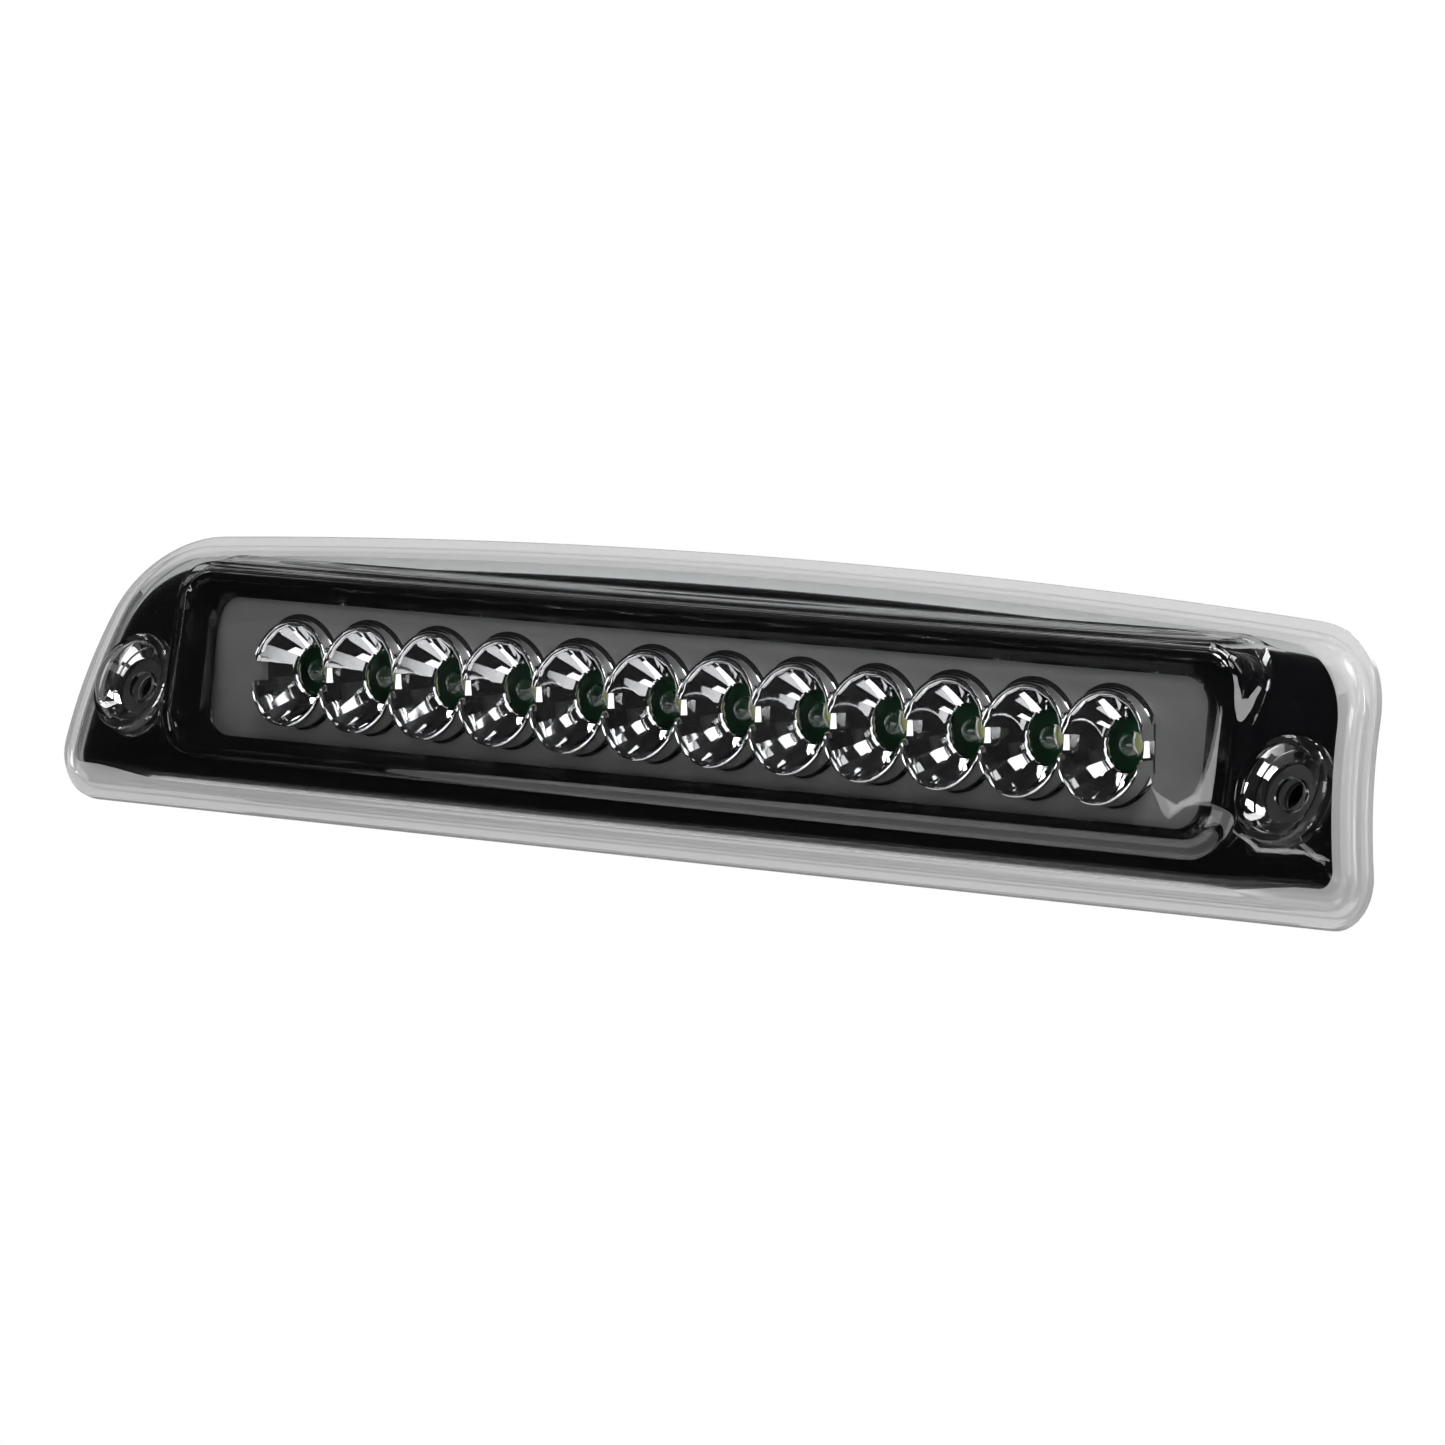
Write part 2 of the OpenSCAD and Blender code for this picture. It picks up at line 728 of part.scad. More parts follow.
outer_lens();
bezel();
reflector_panel();
reflector_cups();
for (i = [0 : cup_count - 1]) led(i);
led_leads();
solder_joints();
circuit_board();
resistors();
resistor_leads();
blocking_diode();
diode_leads();
smoothing_capacitor();
capacitor_leads();
wire_header();
header_pins();
rear_housing();
sealing_bead();
foam_gasket();
sleeve(-1);  // sleeve_left
sleeve(1);  // sleeve_right
well_seals();
bezel_screw_set();  // bezel_screws
panel_screw_set();  // panel_screws
reflector_screw_set();  // reflector_screws
board_screw_set();  // board_screws
wire_grommet();
vent_cap();
vent_membrane();
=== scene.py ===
"""High-level brake lamp: clear lens, gloss black bezel, a row of bright cups with diodes, and housing."""

import logging
import math
from dataclasses import dataclass
from enum import Enum
from typing import Callable, Sequence

import bmesh
import bpy
from mathutils import Matrix, Vector


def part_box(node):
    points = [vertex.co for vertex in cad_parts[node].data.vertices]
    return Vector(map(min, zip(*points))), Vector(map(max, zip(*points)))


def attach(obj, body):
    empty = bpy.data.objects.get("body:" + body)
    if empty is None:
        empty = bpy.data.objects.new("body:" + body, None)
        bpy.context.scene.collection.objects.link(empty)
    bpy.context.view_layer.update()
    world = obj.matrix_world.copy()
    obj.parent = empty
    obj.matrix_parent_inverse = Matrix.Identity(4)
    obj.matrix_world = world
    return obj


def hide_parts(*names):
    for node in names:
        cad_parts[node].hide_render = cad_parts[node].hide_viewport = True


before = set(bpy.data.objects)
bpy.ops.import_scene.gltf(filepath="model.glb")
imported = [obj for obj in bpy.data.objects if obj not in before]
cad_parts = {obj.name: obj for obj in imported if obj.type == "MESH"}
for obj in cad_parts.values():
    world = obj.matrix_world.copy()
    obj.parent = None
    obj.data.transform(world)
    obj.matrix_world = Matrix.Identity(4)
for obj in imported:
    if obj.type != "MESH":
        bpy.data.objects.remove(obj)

BODY = "root"
MM = 0.001
PATCH_SCALE = 55.0
BRUSHED_STRETCH = 0.05
BUMP_STRENGTH = 0.6
ROUNDED_FROM = math.radians(35.0)
FLAT_WITHIN = math.radians(1.0)
LOG = logging.getLogger("brake_lamp")
Point2 = tuple[float, float]
Ring = list[Vector]


# ---- finishes ----


class Grain(Enum):
    """How the small relief of a finish is patterned."""

    SMOOTH = "smooth"
    MOULDED = "moulded"
    BRUSHED = "brushed"
    FOAM = "foam"
    LAMINATE = "laminate"
    FILM = "film"


@dataclass(frozen=True)
class Finish:
    """One surface finish, made as a node material.

    Attributes:
        name: the material's name.
        colour: linear base colour.
        roughness: middle roughness, and swing is how far it wanders either way.
        metallic: 1 for a metal surface.
        grain: pattern of the relief, with its scale per metre and its depth in millimetres.
        shade: how much darker the colour gets in its uneven patches.
        coat: weight of a clear coat.
        clear: how see-through a moulding is, with its index of refraction.
        sheen: strength of the mirrored light, 0.5 being what the index gives.
    """

    name: str
    colour: tuple[float, float, float]
    roughness: float = 0.3
    swing: float = 0.04
    metallic: float = 0.0
    grain: Grain = Grain.SMOOTH
    scale: float = 900.0
    depth: float = 0.02
    shade: float = 0.12
    coat: float = 0.0
    clear: float = 0.0
    index: float = 1.5
    sheen: float = 0.5

    def make(self) -> bpy.types.Material:
        """Returns the material, made on first use.

        Returns:
            The Blender material.
        """
        known = bpy.data.materials.get(self.name)
        if known:
            return known
        made = bpy.data.materials.new(self.name)
        made.use_nodes = True
        nodes, links = made.node_tree.nodes, made.node_tree.links
        nodes.clear()
        shader = nodes.new("ShaderNodeBsdfPrincipled")
        output = nodes.new("ShaderNodeOutputMaterial")
        place = nodes.new("ShaderNodeTexCoord").outputs["Object"]
        shader.inputs["Metallic"].default_value = self.metallic
        shader.inputs["Coat Weight"].default_value = self.coat
        shader.inputs["Coat Roughness"].default_value = 0.04
        shader.inputs["IOR"].default_value = self.index
        shader.inputs["Specular IOR Level"].default_value = self.sheen
        shader.inputs["Transmission Weight"].default_value = self.clear
        self._uneven(nodes, links, place, shader)
        if self.clear:
            self._let_lamps_through(nodes, links, shader, output)
        else:
            self._relief(nodes, links, place, shader)
            links.new(shader.outputs[0], output.inputs["Surface"])
        return made

    def _uneven(self, nodes, links, place, shader: bpy.types.Node) -> None:
        """Wanders the roughness and, on a finish that isn't see-through, the colour.

        Args:
            nodes: the material's nodes.
            links: the material's links.
            place: the socket with object coordinates.
            shader: the Principled node.
        """
        drift = nodes.new("ShaderNodeTexNoise")
        drift.inputs["Scale"].default_value = PATCH_SCALE
        drift.inputs["Detail"].default_value = 4.0
        links.new(place, drift.inputs["Vector"])
        spread = nodes.new("ShaderNodeMapRange")
        spread.inputs["From Min"].default_value = 0.3
        spread.inputs["From Max"].default_value = 0.7
        spread.inputs["To Min"].default_value = max(self.roughness - self.swing, 0.0)
        spread.inputs["To Max"].default_value = self.roughness + self.swing
        links.new(drift.outputs["Fac"], spread.inputs["Value"])
        links.new(spread.outputs["Result"], shader.inputs["Roughness"])
        if self.clear:
            shader.inputs["Base Color"].default_value = (*self.colour, 1.0)
            return
        blend = nodes.new("ShaderNodeMix")
        blend.data_type = "RGBA"
        blend.inputs["A"].default_value = (*(c * (1.0 - self.shade) for c in self.colour), 1.0)
        blend.inputs["B"].default_value = (*self.colour, 1.0)
        links.new(drift.outputs["Fac"], blend.inputs["Factor"])
        links.new(blend.outputs["Result"], shader.inputs["Base Color"])

    def _relief(self, nodes, links, place, shader: bpy.types.Node) -> None:
        """Adds the bump of the finish's grain.

        Args:
            nodes: the material's nodes.
            links: the material's links.
            place: the socket with object coordinates.
            shader: the Principled node.
        """
        spot = nodes.new("ShaderNodeMapping")
        along = BRUSHED_STRETCH if self.grain is Grain.BRUSHED else 1.0
        spot.inputs["Scale"].default_value = (along, 1.0, 1.0)
        links.new(place, spot.inputs["Vector"])
        if self.grain in (Grain.FOAM, Grain.FILM):
            pattern = nodes.new("ShaderNodeTexVoronoi")
            height = pattern.outputs["Distance"]
        elif self.grain is Grain.LAMINATE:
            pattern = nodes.new("ShaderNodeTexBrick")
            height = pattern.outputs["Fac"]
        else:
            pattern = nodes.new("ShaderNodeTexNoise")
            pattern.inputs["Detail"].default_value = 3.0
            height = pattern.outputs["Fac"]
        pattern.inputs["Scale"].default_value = self.scale
        links.new(spot.outputs[0], pattern.inputs["Vector"])
        bump = nodes.new("ShaderNodeBump")
        bump.inputs["Strength"].default_value = BUMP_STRENGTH
        bump.inputs["Distance"].default_value = self.depth * MM
        links.new(height, bump.inputs["Height"])
        links.new(bump.outputs[0], shader.inputs["Normal"])

    def _let_lamps_through(self, nodes, links, shader, output: bpy.types.Node) -> None:
        """Makes a clear moulding pass the lamps' light to what is behind it.

        Args:
            nodes: the material's nodes.
            links: the material's links.
            shader: the Principled node.
            output: the material's output node.
        """
        path = nodes.new("ShaderNodeLightPath")
        open_air = nodes.new("ShaderNodeBsdfTransparent")
        open_air.inputs["Color"].default_value = (*self.colour, 1.0)
        choice = nodes.new("ShaderNodeMixShader")
        links.new(path.outputs["Is Shadow Ray"], choice.inputs[0])
        links.new(shader.outputs[0], choice.inputs[1])
        links.new(open_air.outputs[0], choice.inputs[2])
        links.new(choice.outputs[0], output.inputs["Surface"])


CLEAR_LENS = Finish("clear lens", (0.87, 0.873, 0.876), 0.012, 0.008, clear=1.0, index=1.46, sheen=0.3)
# Painted shade: a greyer, part-opaque copy of the clear lens, standing in for the grey that reflections
# give the lens's border.
SHADED_LENS_EDGE = Finish("clear lens edge painted shade", (0.56, 0.56, 0.56), 0.1, 0.03, clear=0.6, index=1.25)
GLOSS_BLACK = Finish("gloss black", (0.0025, 0.0025, 0.003), 0.11, 0.03, scale=260.0, depth=0.0, index=1.36,
                     sheen=0.3)
SATIN_GREY = Finish("satin grey", (0.13, 0.131, 0.127), 0.42, 0.05, grain=Grain.MOULDED, scale=1600.0,
                    depth=0.012)
CHROME = Finish("bright plating", (0.9, 0.9, 0.91), 0.035, 0.02, metallic=1.0, scale=700.0, depth=0.003,
                shade=0.04)
EPOXY = Finish("clear epoxy", (0.97, 0.98, 0.95), 0.02, 0.01, clear=1.0, index=1.53)
LEAD_FRAME = Finish("lead frame", (0.74, 0.75, 0.7), 0.25, 0.06, metallic=1.0, scale=1500.0)
DIODE_CHIP = Finish("yellow green chip", (0.62, 0.68, 0.3), 0.35, 0.05, scale=2400.0, shade=0.2)
TINNED = Finish("tinned wire", (0.72, 0.73, 0.75), 0.26, 0.08, metallic=1.0, scale=1800.0)
SOLDER = Finish("solder", (0.76, 0.77, 0.78), 0.22, 0.1, metallic=1.0, scale=900.0, depth=0.03)
BOARD = Finish("solder mask", (0.018, 0.12, 0.045), 0.3, 0.06, grain=Grain.LAMINATE, scale=420.0,
               depth=0.01, coat=0.3)
RESISTOR = Finish("resistor lacquer", (0.2, 0.42, 0.55), 0.24, 0.06, scale=1200.0, depth=0.02)
DIODE_CASE = Finish("moulded diode case", (0.012, 0.012, 0.013), 0.42, 0.05, grain=Grain.MOULDED,
                    scale=2600.0)
CAN_SLEEVE = Finish("capacitor sleeve", (0.02, 0.025, 0.08), 0.22, 0.05, coat=0.5)
NYLON = Finish("natural nylon", (0.78, 0.75, 0.66), 0.4, 0.05, grain=Grain.MOULDED, scale=1800.0)
PIN_GOLD = Finish("plated pin", (0.86, 0.66, 0.28), 0.2, 0.05, metallic=1.0)
HOUSING = Finish("textured black", (0.016, 0.016, 0.017), 0.5, 0.07, grain=Grain.MOULDED, scale=2200.0,
                 depth=0.06)
SEALANT = Finish("pale sealant", (0.66, 0.67, 0.67), 0.38, 0.08, scale=300.0, depth=0.15)
FOAM = Finish("closed cell foam", (0.035, 0.035, 0.038), 0.85, 0.06, grain=Grain.FOAM, scale=1500.0,
              depth=0.25)
BLACK_STEEL = Finish("blackened steel", (0.03, 0.03, 0.032), 0.38, 0.08, metallic=1.0, grain=Grain.BRUSHED,
                     scale=2500.0)
ZINC = Finish("zinc plating", (0.66, 0.67, 0.7), 0.3, 0.1, metallic=1.0, grain=Grain.BRUSHED, scale=2500.0)
RUBBER = Finish("moulded rubber", (0.014, 0.014, 0.015), 0.55, 0.08, grain=Grain.MOULDED, scale=1800.0,
                depth=0.04)
VENT = Finish("vent plastic", (0.025, 0.025, 0.027), 0.45, 0.06, grain=Grain.MOULDED, scale=2400.0,
              depth=0.03)
MEMBRANE = Finish("breathable film", (0.82, 0.82, 0.8), 0.7, 0.05, grain=Grain.FILM, scale=5000.0,
                  depth=0.05)
PALE_FLOOR = Finish("pale floor", (0.82, 0.82, 0.82), 0.7, 0.03, scale=40.0, depth=0.05, shade=0.03)


# ---- mesh building ----


class Shape:
    """A mesh under construction, in millimetres in the lamp's own frame."""

    def __init__(self) -> None:
        """Starts an empty mesh."""
        self.bm = bmesh.new()

    def loop(self, points: Ring) -> list[bmesh.types.BMEdge]:
        """Adds one closed loop of edges.

        Args:
            points: the loop's corners in order.

        Returns:
            The new edges.
        """
        verts = [self.bm.verts.new(p) for p in points]
        return [self.bm.edges.new((v, verts[(i + 1) % len(verts)])) for i, v in enumerate(verts)]

    def skin(self, rings: Sequence[Ring], cap_first: bool = False, cap_last: bool = False,
             closed: bool = False) -> None:
        """Bridges a row of loops into a surface.

        Args:
            rings: loops with equal numbers of points.
            cap_first: closes the first loop with a face.
            cap_last: closes the last loop with a face.
            closed: joins the last loop back to the first.
        """
        loops = [self.loop(r) for r in rings]
        pairs = list(zip(loops, loops[1:]))
        if closed:
            pairs.append((loops[-1], loops[0]))
        for a, b in pairs:
            bmesh.ops.bridge_loops(self.bm, edges=a + b)
        for wanted, edges in ((cap_first, loops[0]), (cap_last, loops[-1])):
            if wanted:
                bmesh.ops.contextual_create(self.bm, geom=edges)

    def turned(self, profile: Sequence[Point2], centre: Vector, steps: int, tilt: Matrix) -> None:
        """Spins a profile of (radius, depth) points once round the Y axis.

        Args:
            profile: the points; a first or last one of radius 0 closes the shape on the axis.
            centre: the axis's place before the tilt.
            steps: how many steps the turn has.
            tilt: the matrix that carries the finished turn to its place.
        """
        verts = [self.bm.verts.new((r, y, 0.0)) for r, y in profile]
        edges = [self.bm.edges.new(pair) for pair in zip(verts, verts[1:])]
        bmesh.ops.spin(self.bm, geom=verts + edges, axis=(0, 1, 0), cent=(0, 0, 0), dvec=(0, 0, 0),
                       angle=math.tau, steps=steps, use_merge=True, use_duplicate=False)
        fresh = [v for v in self.bm.verts if not v.tag]
        bmesh.ops.remove_doubles(self.bm, verts=fresh, dist=1e-5)
        fresh = [v for v in self.bm.verts if not v.tag]
        bmesh.ops.transform(self.bm, matrix=tilt @ Matrix.Translation(centre), verts=fresh)
        for v in fresh:
            v.tag = True

    def done(self, name: str, finish: Finish, sharp: float = 32.0) -> bpy.types.Object:
        """Turns the mesh into an object in metres.

        Args:
            name: the piece's name.
            finish: its finish.
            sharp: edges that turn more than this many degrees stay crisp.

        Returns:
            The new object.
        """
        bmesh.ops.scale(self.bm, vec=(MM, MM, MM), verts=self.bm.verts)
        bmesh.ops.remove_doubles(self.bm, verts=self.bm.verts, dist=1e-6)
        bmesh.ops.recalc_face_normals(self.bm, faces=self.bm.faces)
        crisp(self.bm, sharp)
        mesh = bpy.data.meshes.new(name)
        self.bm.to_mesh(mesh)
        self.bm.free()
        made = bpy.data.objects.new(name, mesh)
        bpy.context.scene.collection.objects.link(made)
        mesh.materials.append(finish.make())
        return made


def crisp(bm: bmesh.types.BMesh, degrees: float) -> None:
    """Shades a mesh smooth except across its corners.

    Args:
        bm: the mesh.
        degrees: the turn at which an edge counts as a corner.
    """
    for face in bm.faces:
        face.smooth = True
    for edge in bm.edges:
        edge.smooth = len(edge.link_faces) != 2 or edge.calc_face_angle(0.0) < math.radians(degrees)


def settle(piece: bpy.types.Object, slot: str, *nodes: str) -> bpy.types.Object:
    """Fixes a piece to the lamp and hides what it stands for.

    Args:
        piece: the finished piece.
        slot: the record's material slot; not used.
        nodes: the CAD nodes that it replaces.

    Returns:
        The piece.
    """
    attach(piece, BODY)
    if nodes:
        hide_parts(*nodes)
    return piece


def soften(node: str, finish: Finish, slot: str, width: float = 0.3, segments: int = 3) -> bpy.types.Object:
    """Makes a copy of a CAD node with its sharp edges rounded, and shows it in the node's place.

    Args:
        node: the CAD node.
        finish: the copy's finish.
        slot: the record's material slot.
        width: how far back the rounding reaches, in millimetres.
        segments: how many faces it takes to turn the corner.

    Returns:
        The rounded copy.
    """
    bm = bmesh.new()
    bm.from_mesh(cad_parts[node].data)
    bmesh.ops.remove_doubles(bm, verts=bm.verts, dist=2e-6)
    bmesh.ops.dissolve_limit(bm, angle_limit=FLAT_WITHIN, verts=bm.verts, edges=bm.edges)
    corners = [e for e in bm.edges if len(e.link_faces) == 2 and e.calc_face_angle(0.0) > ROUNDED_FROM]
    bmesh.ops.bevel(bm, geom=corners, offset=width * MM, offset_type="OFFSET", segments=segments,
                    profile=0.5, affect="EDGES", clamp_overlap=True, material=-1)
    bmesh.ops.remove_doubles(bm, verts=bm.verts, dist=1e-6)
    crisp(bm, 40.0)
    mesh = bpy.data.meshes.new(node + "_shown")
    bm.to_mesh(mesh)
    bm.free()
    made = bpy.data.objects.new(node + "_shown", mesh)
    bpy.context.scene.collection.objects.link(made)
    mesh.materials.append(finish.make())
    return settle(made, slot, node)


def dress_node(node: str, finish: Finish) -> None:
    """Gives a CAD node that is shown as it is its finish.

    Args:
        node: the CAD node.
        finish: the finish.
    """
    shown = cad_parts[node]
    for held in shown.material_slots:
        held.material = finish.make()


def carve(piece: bpy.types.Object, tool: bpy.types.Object, operation: str) -> None:
    """Cuts a tool away from a piece, or joins it on, and removes the tool.

    Args:
        piece: the piece that changes.
        tool: the closed mesh that cuts or joins.
        operation: DIFFERENCE or UNION.
    """
    cut = piece.modifiers.new("carve", "BOOLEAN")
    cut.operation = operation
    cut.object = tool
    cut.solver = "EXACT"
    graph = bpy.context.evaluated_depsgraph_get()
    result = bpy.data.meshes.new_from_object(piece.evaluated_get(graph))
    piece.modifiers.remove(cut)
    piece.data = result
    bpy.data.objects.remove(tool)


def metres(place: Matrix) -> Matrix:
    """Turns a placing in millimetres into one in metres."""
    moved = place.copy()
    moved.translation *= MM
    return moved


def smooth_again(piece: bpy.types.Object, degrees: float) -> None:
    """Shades a carved piece smooth except across its corners.

    Args:
        piece: the piece.
        degrees: the turn at which an edge counts as a corner.
    """
    bm = bmesh.new()
    bm.from_mesh(piece.data)
    crisp(bm, degrees)
    bm.to_mesh(piece.data)
    bm.free()


# ---- outlines ----


def arc_corner(a: Vector, b: Vector, c: Vector, radius: float, steps: int) -> list[Vector]:
    """Rounds the corner b between its neighbours a and c.

    Args:
        a: the point before.
        b: the corner.
        c: the point after.
        radius: the corner's radius.
        steps: how many steps the arc has.

    Returns:
        The points of the arc.
    """
    u, v = (a - b).normalized(), (c - b).normalized()
    half = math.acos(max(-1.0, min(1.0, u.dot(v)))) / 2
    middle = b + (u + v).normalized() * radius / math.sin(half)
    start, end = b + u * radius / math.tan(half) - middle, b + v * radius / math.tan(half) - middle
    first = math.atan2(start.y, start.x)
    sweep = (math.atan2(end.y, end.x) - first + math.pi) % math.tau - math.pi
    turns = (first + sweep * k / steps for k in range(steps + 1))
    return [middle + Vector((math.cos(t), math.sin(t))) * radius for t in turns]


def spaced(a: Vector, b: Vector, count: int) -> list[Vector]:
    """Points spaced evenly between two others, without them.

    Args:
        a: the first end.
        b: the second end.
        count: how many points.

    Returns:
        The points.
    """
    return [a.lerp(b, (k + 1) / (count + 1)) for k in range(count)]


@dataclass
class LampForm:
    """The lamp's outlines, layers and tilted frames, in millimetres.

    Attributes:
        width: width of the lens, and height and low_z its height and lowest point.
        crown_r: radius of the curve from bottom to top, and arch_r that of the top edge.
        side_lean: lean of the short sides in degrees.
        low_corner_r: radius of the lower corners, and top_corner_r that of the upper ones.
        flange_t: thickness of the border flange, and flange_w its width.
        wall: wall of the lens, and face_step how far its face stands above the flange.
        row_up: height of the cup row, window_lean the window's lean and cup_aim the cups' aim, in degrees.
        window_w: width of the window, with window_low and window_top its edges above the row.
    """

    width: float
    height: float
    low_z: float
    crest_y: float
    crown_r: float = 90.0
    arch_r: float = 2220.0
    side_lean: float = math.radians(11.5)
    low_corner_r: float = 9.0
    top_corner_r: float = 24.0
    flange_t: float = 2.5
    flange_w: float = 2.7
    wall: float = 2.2
    face_step: float = 3.0
    row_up: float = 4.8
    window_lean: float = math.radians(12.0)
    cup_aim: float = math.radians(9.5)
    window_inset: float = 42.4
    edge_gap: float = 2.2
    window_low: float = -13.85
    window_top: float = 14.85
    side_steps: int = 14
    low_steps: int = 10
    top_steps: int = 16
    long_steps: int = 59

    @property
    def window_w(self) -> float:
        """Width of the window."""
        return self.width - 2 * self.window_inset

    @property
    def crown_y(self) -> float:
        """Depth of the axis that the lens curves about."""
        return self.crest_y + self.crown_r

    @property
    def mid_z(self) -> float:
        """Height of that axis."""
        return self.low_z + self.height / 2

    @property
    def face_r(self) -> float:
        """Radius of the lens's face."""
        return self.crown_r + self.face_step

    @property
    def row_y(self) -> float:
        """Depth of the rims' plane at the cup row."""
        return self.crest_y - 2.35

    @property
    def window_frame(self) -> Matrix:
        """Carries the window's own frame into the lamp's."""
        lean = Matrix.Rotation(self.window_lean, 4, "X")
        return Matrix.Translation((0.0, self.row_y, self.row_up)) @ lean

    @property
    def beam_frame(self) -> Matrix:
        """Carries the frame that the cups and board are square to into the lamp's."""
        return self.window_frame @ Matrix.Rotation(self.cup_aim, 4, "X")

    def curve_y(self, z: float, radius: float) -> float:
        """Depth at height z of the layer with this radius."""
        return self.crown_y - math.sqrt(radius * radius - (z - self.mid_z) ** 2)

    def outline(self, inset: float, drop: float = 0.0) -> list[Vector]:
        """The lens outline, drawn in by an inset, seen from the front.

        Args:
            inset: how far inside the lens's edge it runs.
            drop: how much further its top edge is lowered.

        Returns:
            Its points in X and Z, from the lower right corner round to the left.
        """
        lean, r = self.side_lean, self.low_corner_r
        foot = self.width / 2 + r * (math.tan(lean) + 1 / math.cos(lean) - 1)
        top = self.low_z + self.height

        def side(z: float) -> float:
            return foot - (z - self.low_z) * math.tan(lean) - inset / math.cos(lean)

        def arch(x: float) -> float:
            return top - inset - drop - x * x / 2 / self.arch_r

        low = Vector((side(self.low_z + inset), self.low_z + inset))
        guess = side(arch(side(top)))
        high = Vector((guess, arch(guess)))
        turn = max(self.top_corner_r - inset, 2.0)
        crest = high.x - turn
        lower = arc_corner(Vector((0.0, low.y)), low, high, max(r - inset, 1.5), self.low_steps)
        upper = arc_corner(low, high, Vector((crest, arch(crest))), turn, self.top_steps)
        half = lower + spaced(lower[-1], upper[0], self.side_steps) + upper
        over = spaced(upper[-1], Vector((-upper[-1].x, upper[-1].y)), self.long_steps)
        over = [Vector((p.x, arch(p.x))) for p in over]
        left = [Vector((-p.x, p.y)) for p in reversed(half)]
        under = spaced(left[-1], half[0], self.long_steps)
        return half + over + left + under

    def box_outline(self, grow: float, below: float, above: float, radius: float) -> list[Vector]:
        """A rounded rectangle about the window, in the window's frame, with the outline's point counts.

        Args:
            grow: how far it stands beyond the window's ends.
            below: how far below the window.
            above: how far above it.
            radius: the corners' radius.

        Returns:
            Its points in X and Z.
        """
        x, low, high = self.window_w / 2 + grow, self.window_low - below, self.window_top + above
        lower = arc_corner(Vector((0, low)), Vector((x, low)), Vector((x, high)), radius, self.low_steps)
        upper = arc_corner(Vector((x, low)), Vector((x, high)), Vector((0, high)), radius, self.top_steps)
        half = lower + spaced(lower[-1], upper[0], self.side_steps) + upper
        over = spaced(upper[-1], Vector((-upper[-1].x, high)), self.long_steps)
        left = [Vector((-p.x, p.y)) for p in reversed(half)]
        return half + over + left + spaced(left[-1], half[0], self.long_steps)

    def edge_ring(self, inset: float, radius: float, ends: float = 0.0, drop: float = 0.0) -> Ring:
        """The outline at an inset, laid on the layer of a radius.

        Args:
            inset: how far inside the lens's edge it runs.
            radius: the layer's radius.
            ends: how much further in it runs at the lamp's two ends.
            drop: how much further its top edge is lowered.

        Returns:
            The ring in the lamp's frame.
        """
        found = []
        for p, q in zip(self.outline(inset, drop), self.outline(inset + ends, drop)):
            part = min(max((abs(p.x) - self.width * 0.4) / (self.width * 0.07), 0.0), 1.0)
            at = p.lerp(q, part * part * (3.0 - 2.0 * part))
            found.append(Vector((at.x, self.curve_y(at.y, radius), at.y)))
        return found

    def between(self, inner: Ring, outer: Ring, part: float, radius: float) -> Ring:
        """Lays a ring part of the way between two others, on the layer of a radius.

        Args:
            inner: the ring at part 0.
            outer: the ring at part 1, with as many points.
            part: how far the new ring is from the inner one.
            radius: the curved layer's radius.

        Returns:
            The ring's points.
        """
        mixed = (a.lerp(b, part) for a, b in zip(inner, outer))
        return [Vector((p.x, self.curve_y(p.z, radius), p.z)) for p in mixed]

    def window_ring(self, grow: float, below: float, above: float, corner: float, depth: float) -> Ring:
        """Gives a window outline at a depth behind the rims' plane.

        Args:
            grow: how far the outline goes past the window's ends.
            below: how far it goes below the window.
            above: how far it goes above the window.
            corner: radius of its corners.
            depth: how far behind the rims' plane it lies.

        Returns:
            The ring's points in the lamp's frame.
        """
        place = self.window_frame
        return [place @ Vector((p.x, depth, p.y)) for p in self.box_outline(grow, below, above, corner)]

    def foot_ring(self, grow: float, below: float, above: float, corner: float, radius: float) -> Ring:
        """Moves a window outline along the window's depth until it meets a curved layer.

        Args:
            grow: how far the outline goes past the window's ends.
            below: how far it goes below the window.
            above: how far it goes above the window.
            corner: radius of its corners.
            radius: the curved layer's radius.

        Returns:
            The ring's points on that layer.
        """
        into = (self.window_frame.to_3x3() @ Vector((0, 1, 0))).normalized()
        axis = Vector((0.0, self.crown_y, self.mid_z))
        found = []
        for p in self.window_ring(grow, below, above, corner, -20.0):
            off = Vector((0.0, p.y, p.z)) - axis
            b = off.dot(into)
            found.append(p + into * (-b - math.sqrt(b * b - off.length_squared + radius * radius)))
        return found


def encloses(ring: Sequence[Vector], x: float, z: float) -> bool:
    """Says whether a closed outline has a point inside it.

    Args:
        ring: the outline's corners as (x, z).
        x: the point's place across.
        z: the point's height.

    Returns:
        True inside the outline.
    """
    within = False
    for a, b in zip(ring, ring[1:] + ring[:1]):
        if (a.y > z) != (b.y > z) and x < a.x + (b.x - a.x) * (z - a.y) / (b.y - a.y):
            within = not within
    return within


# ---- lens ----


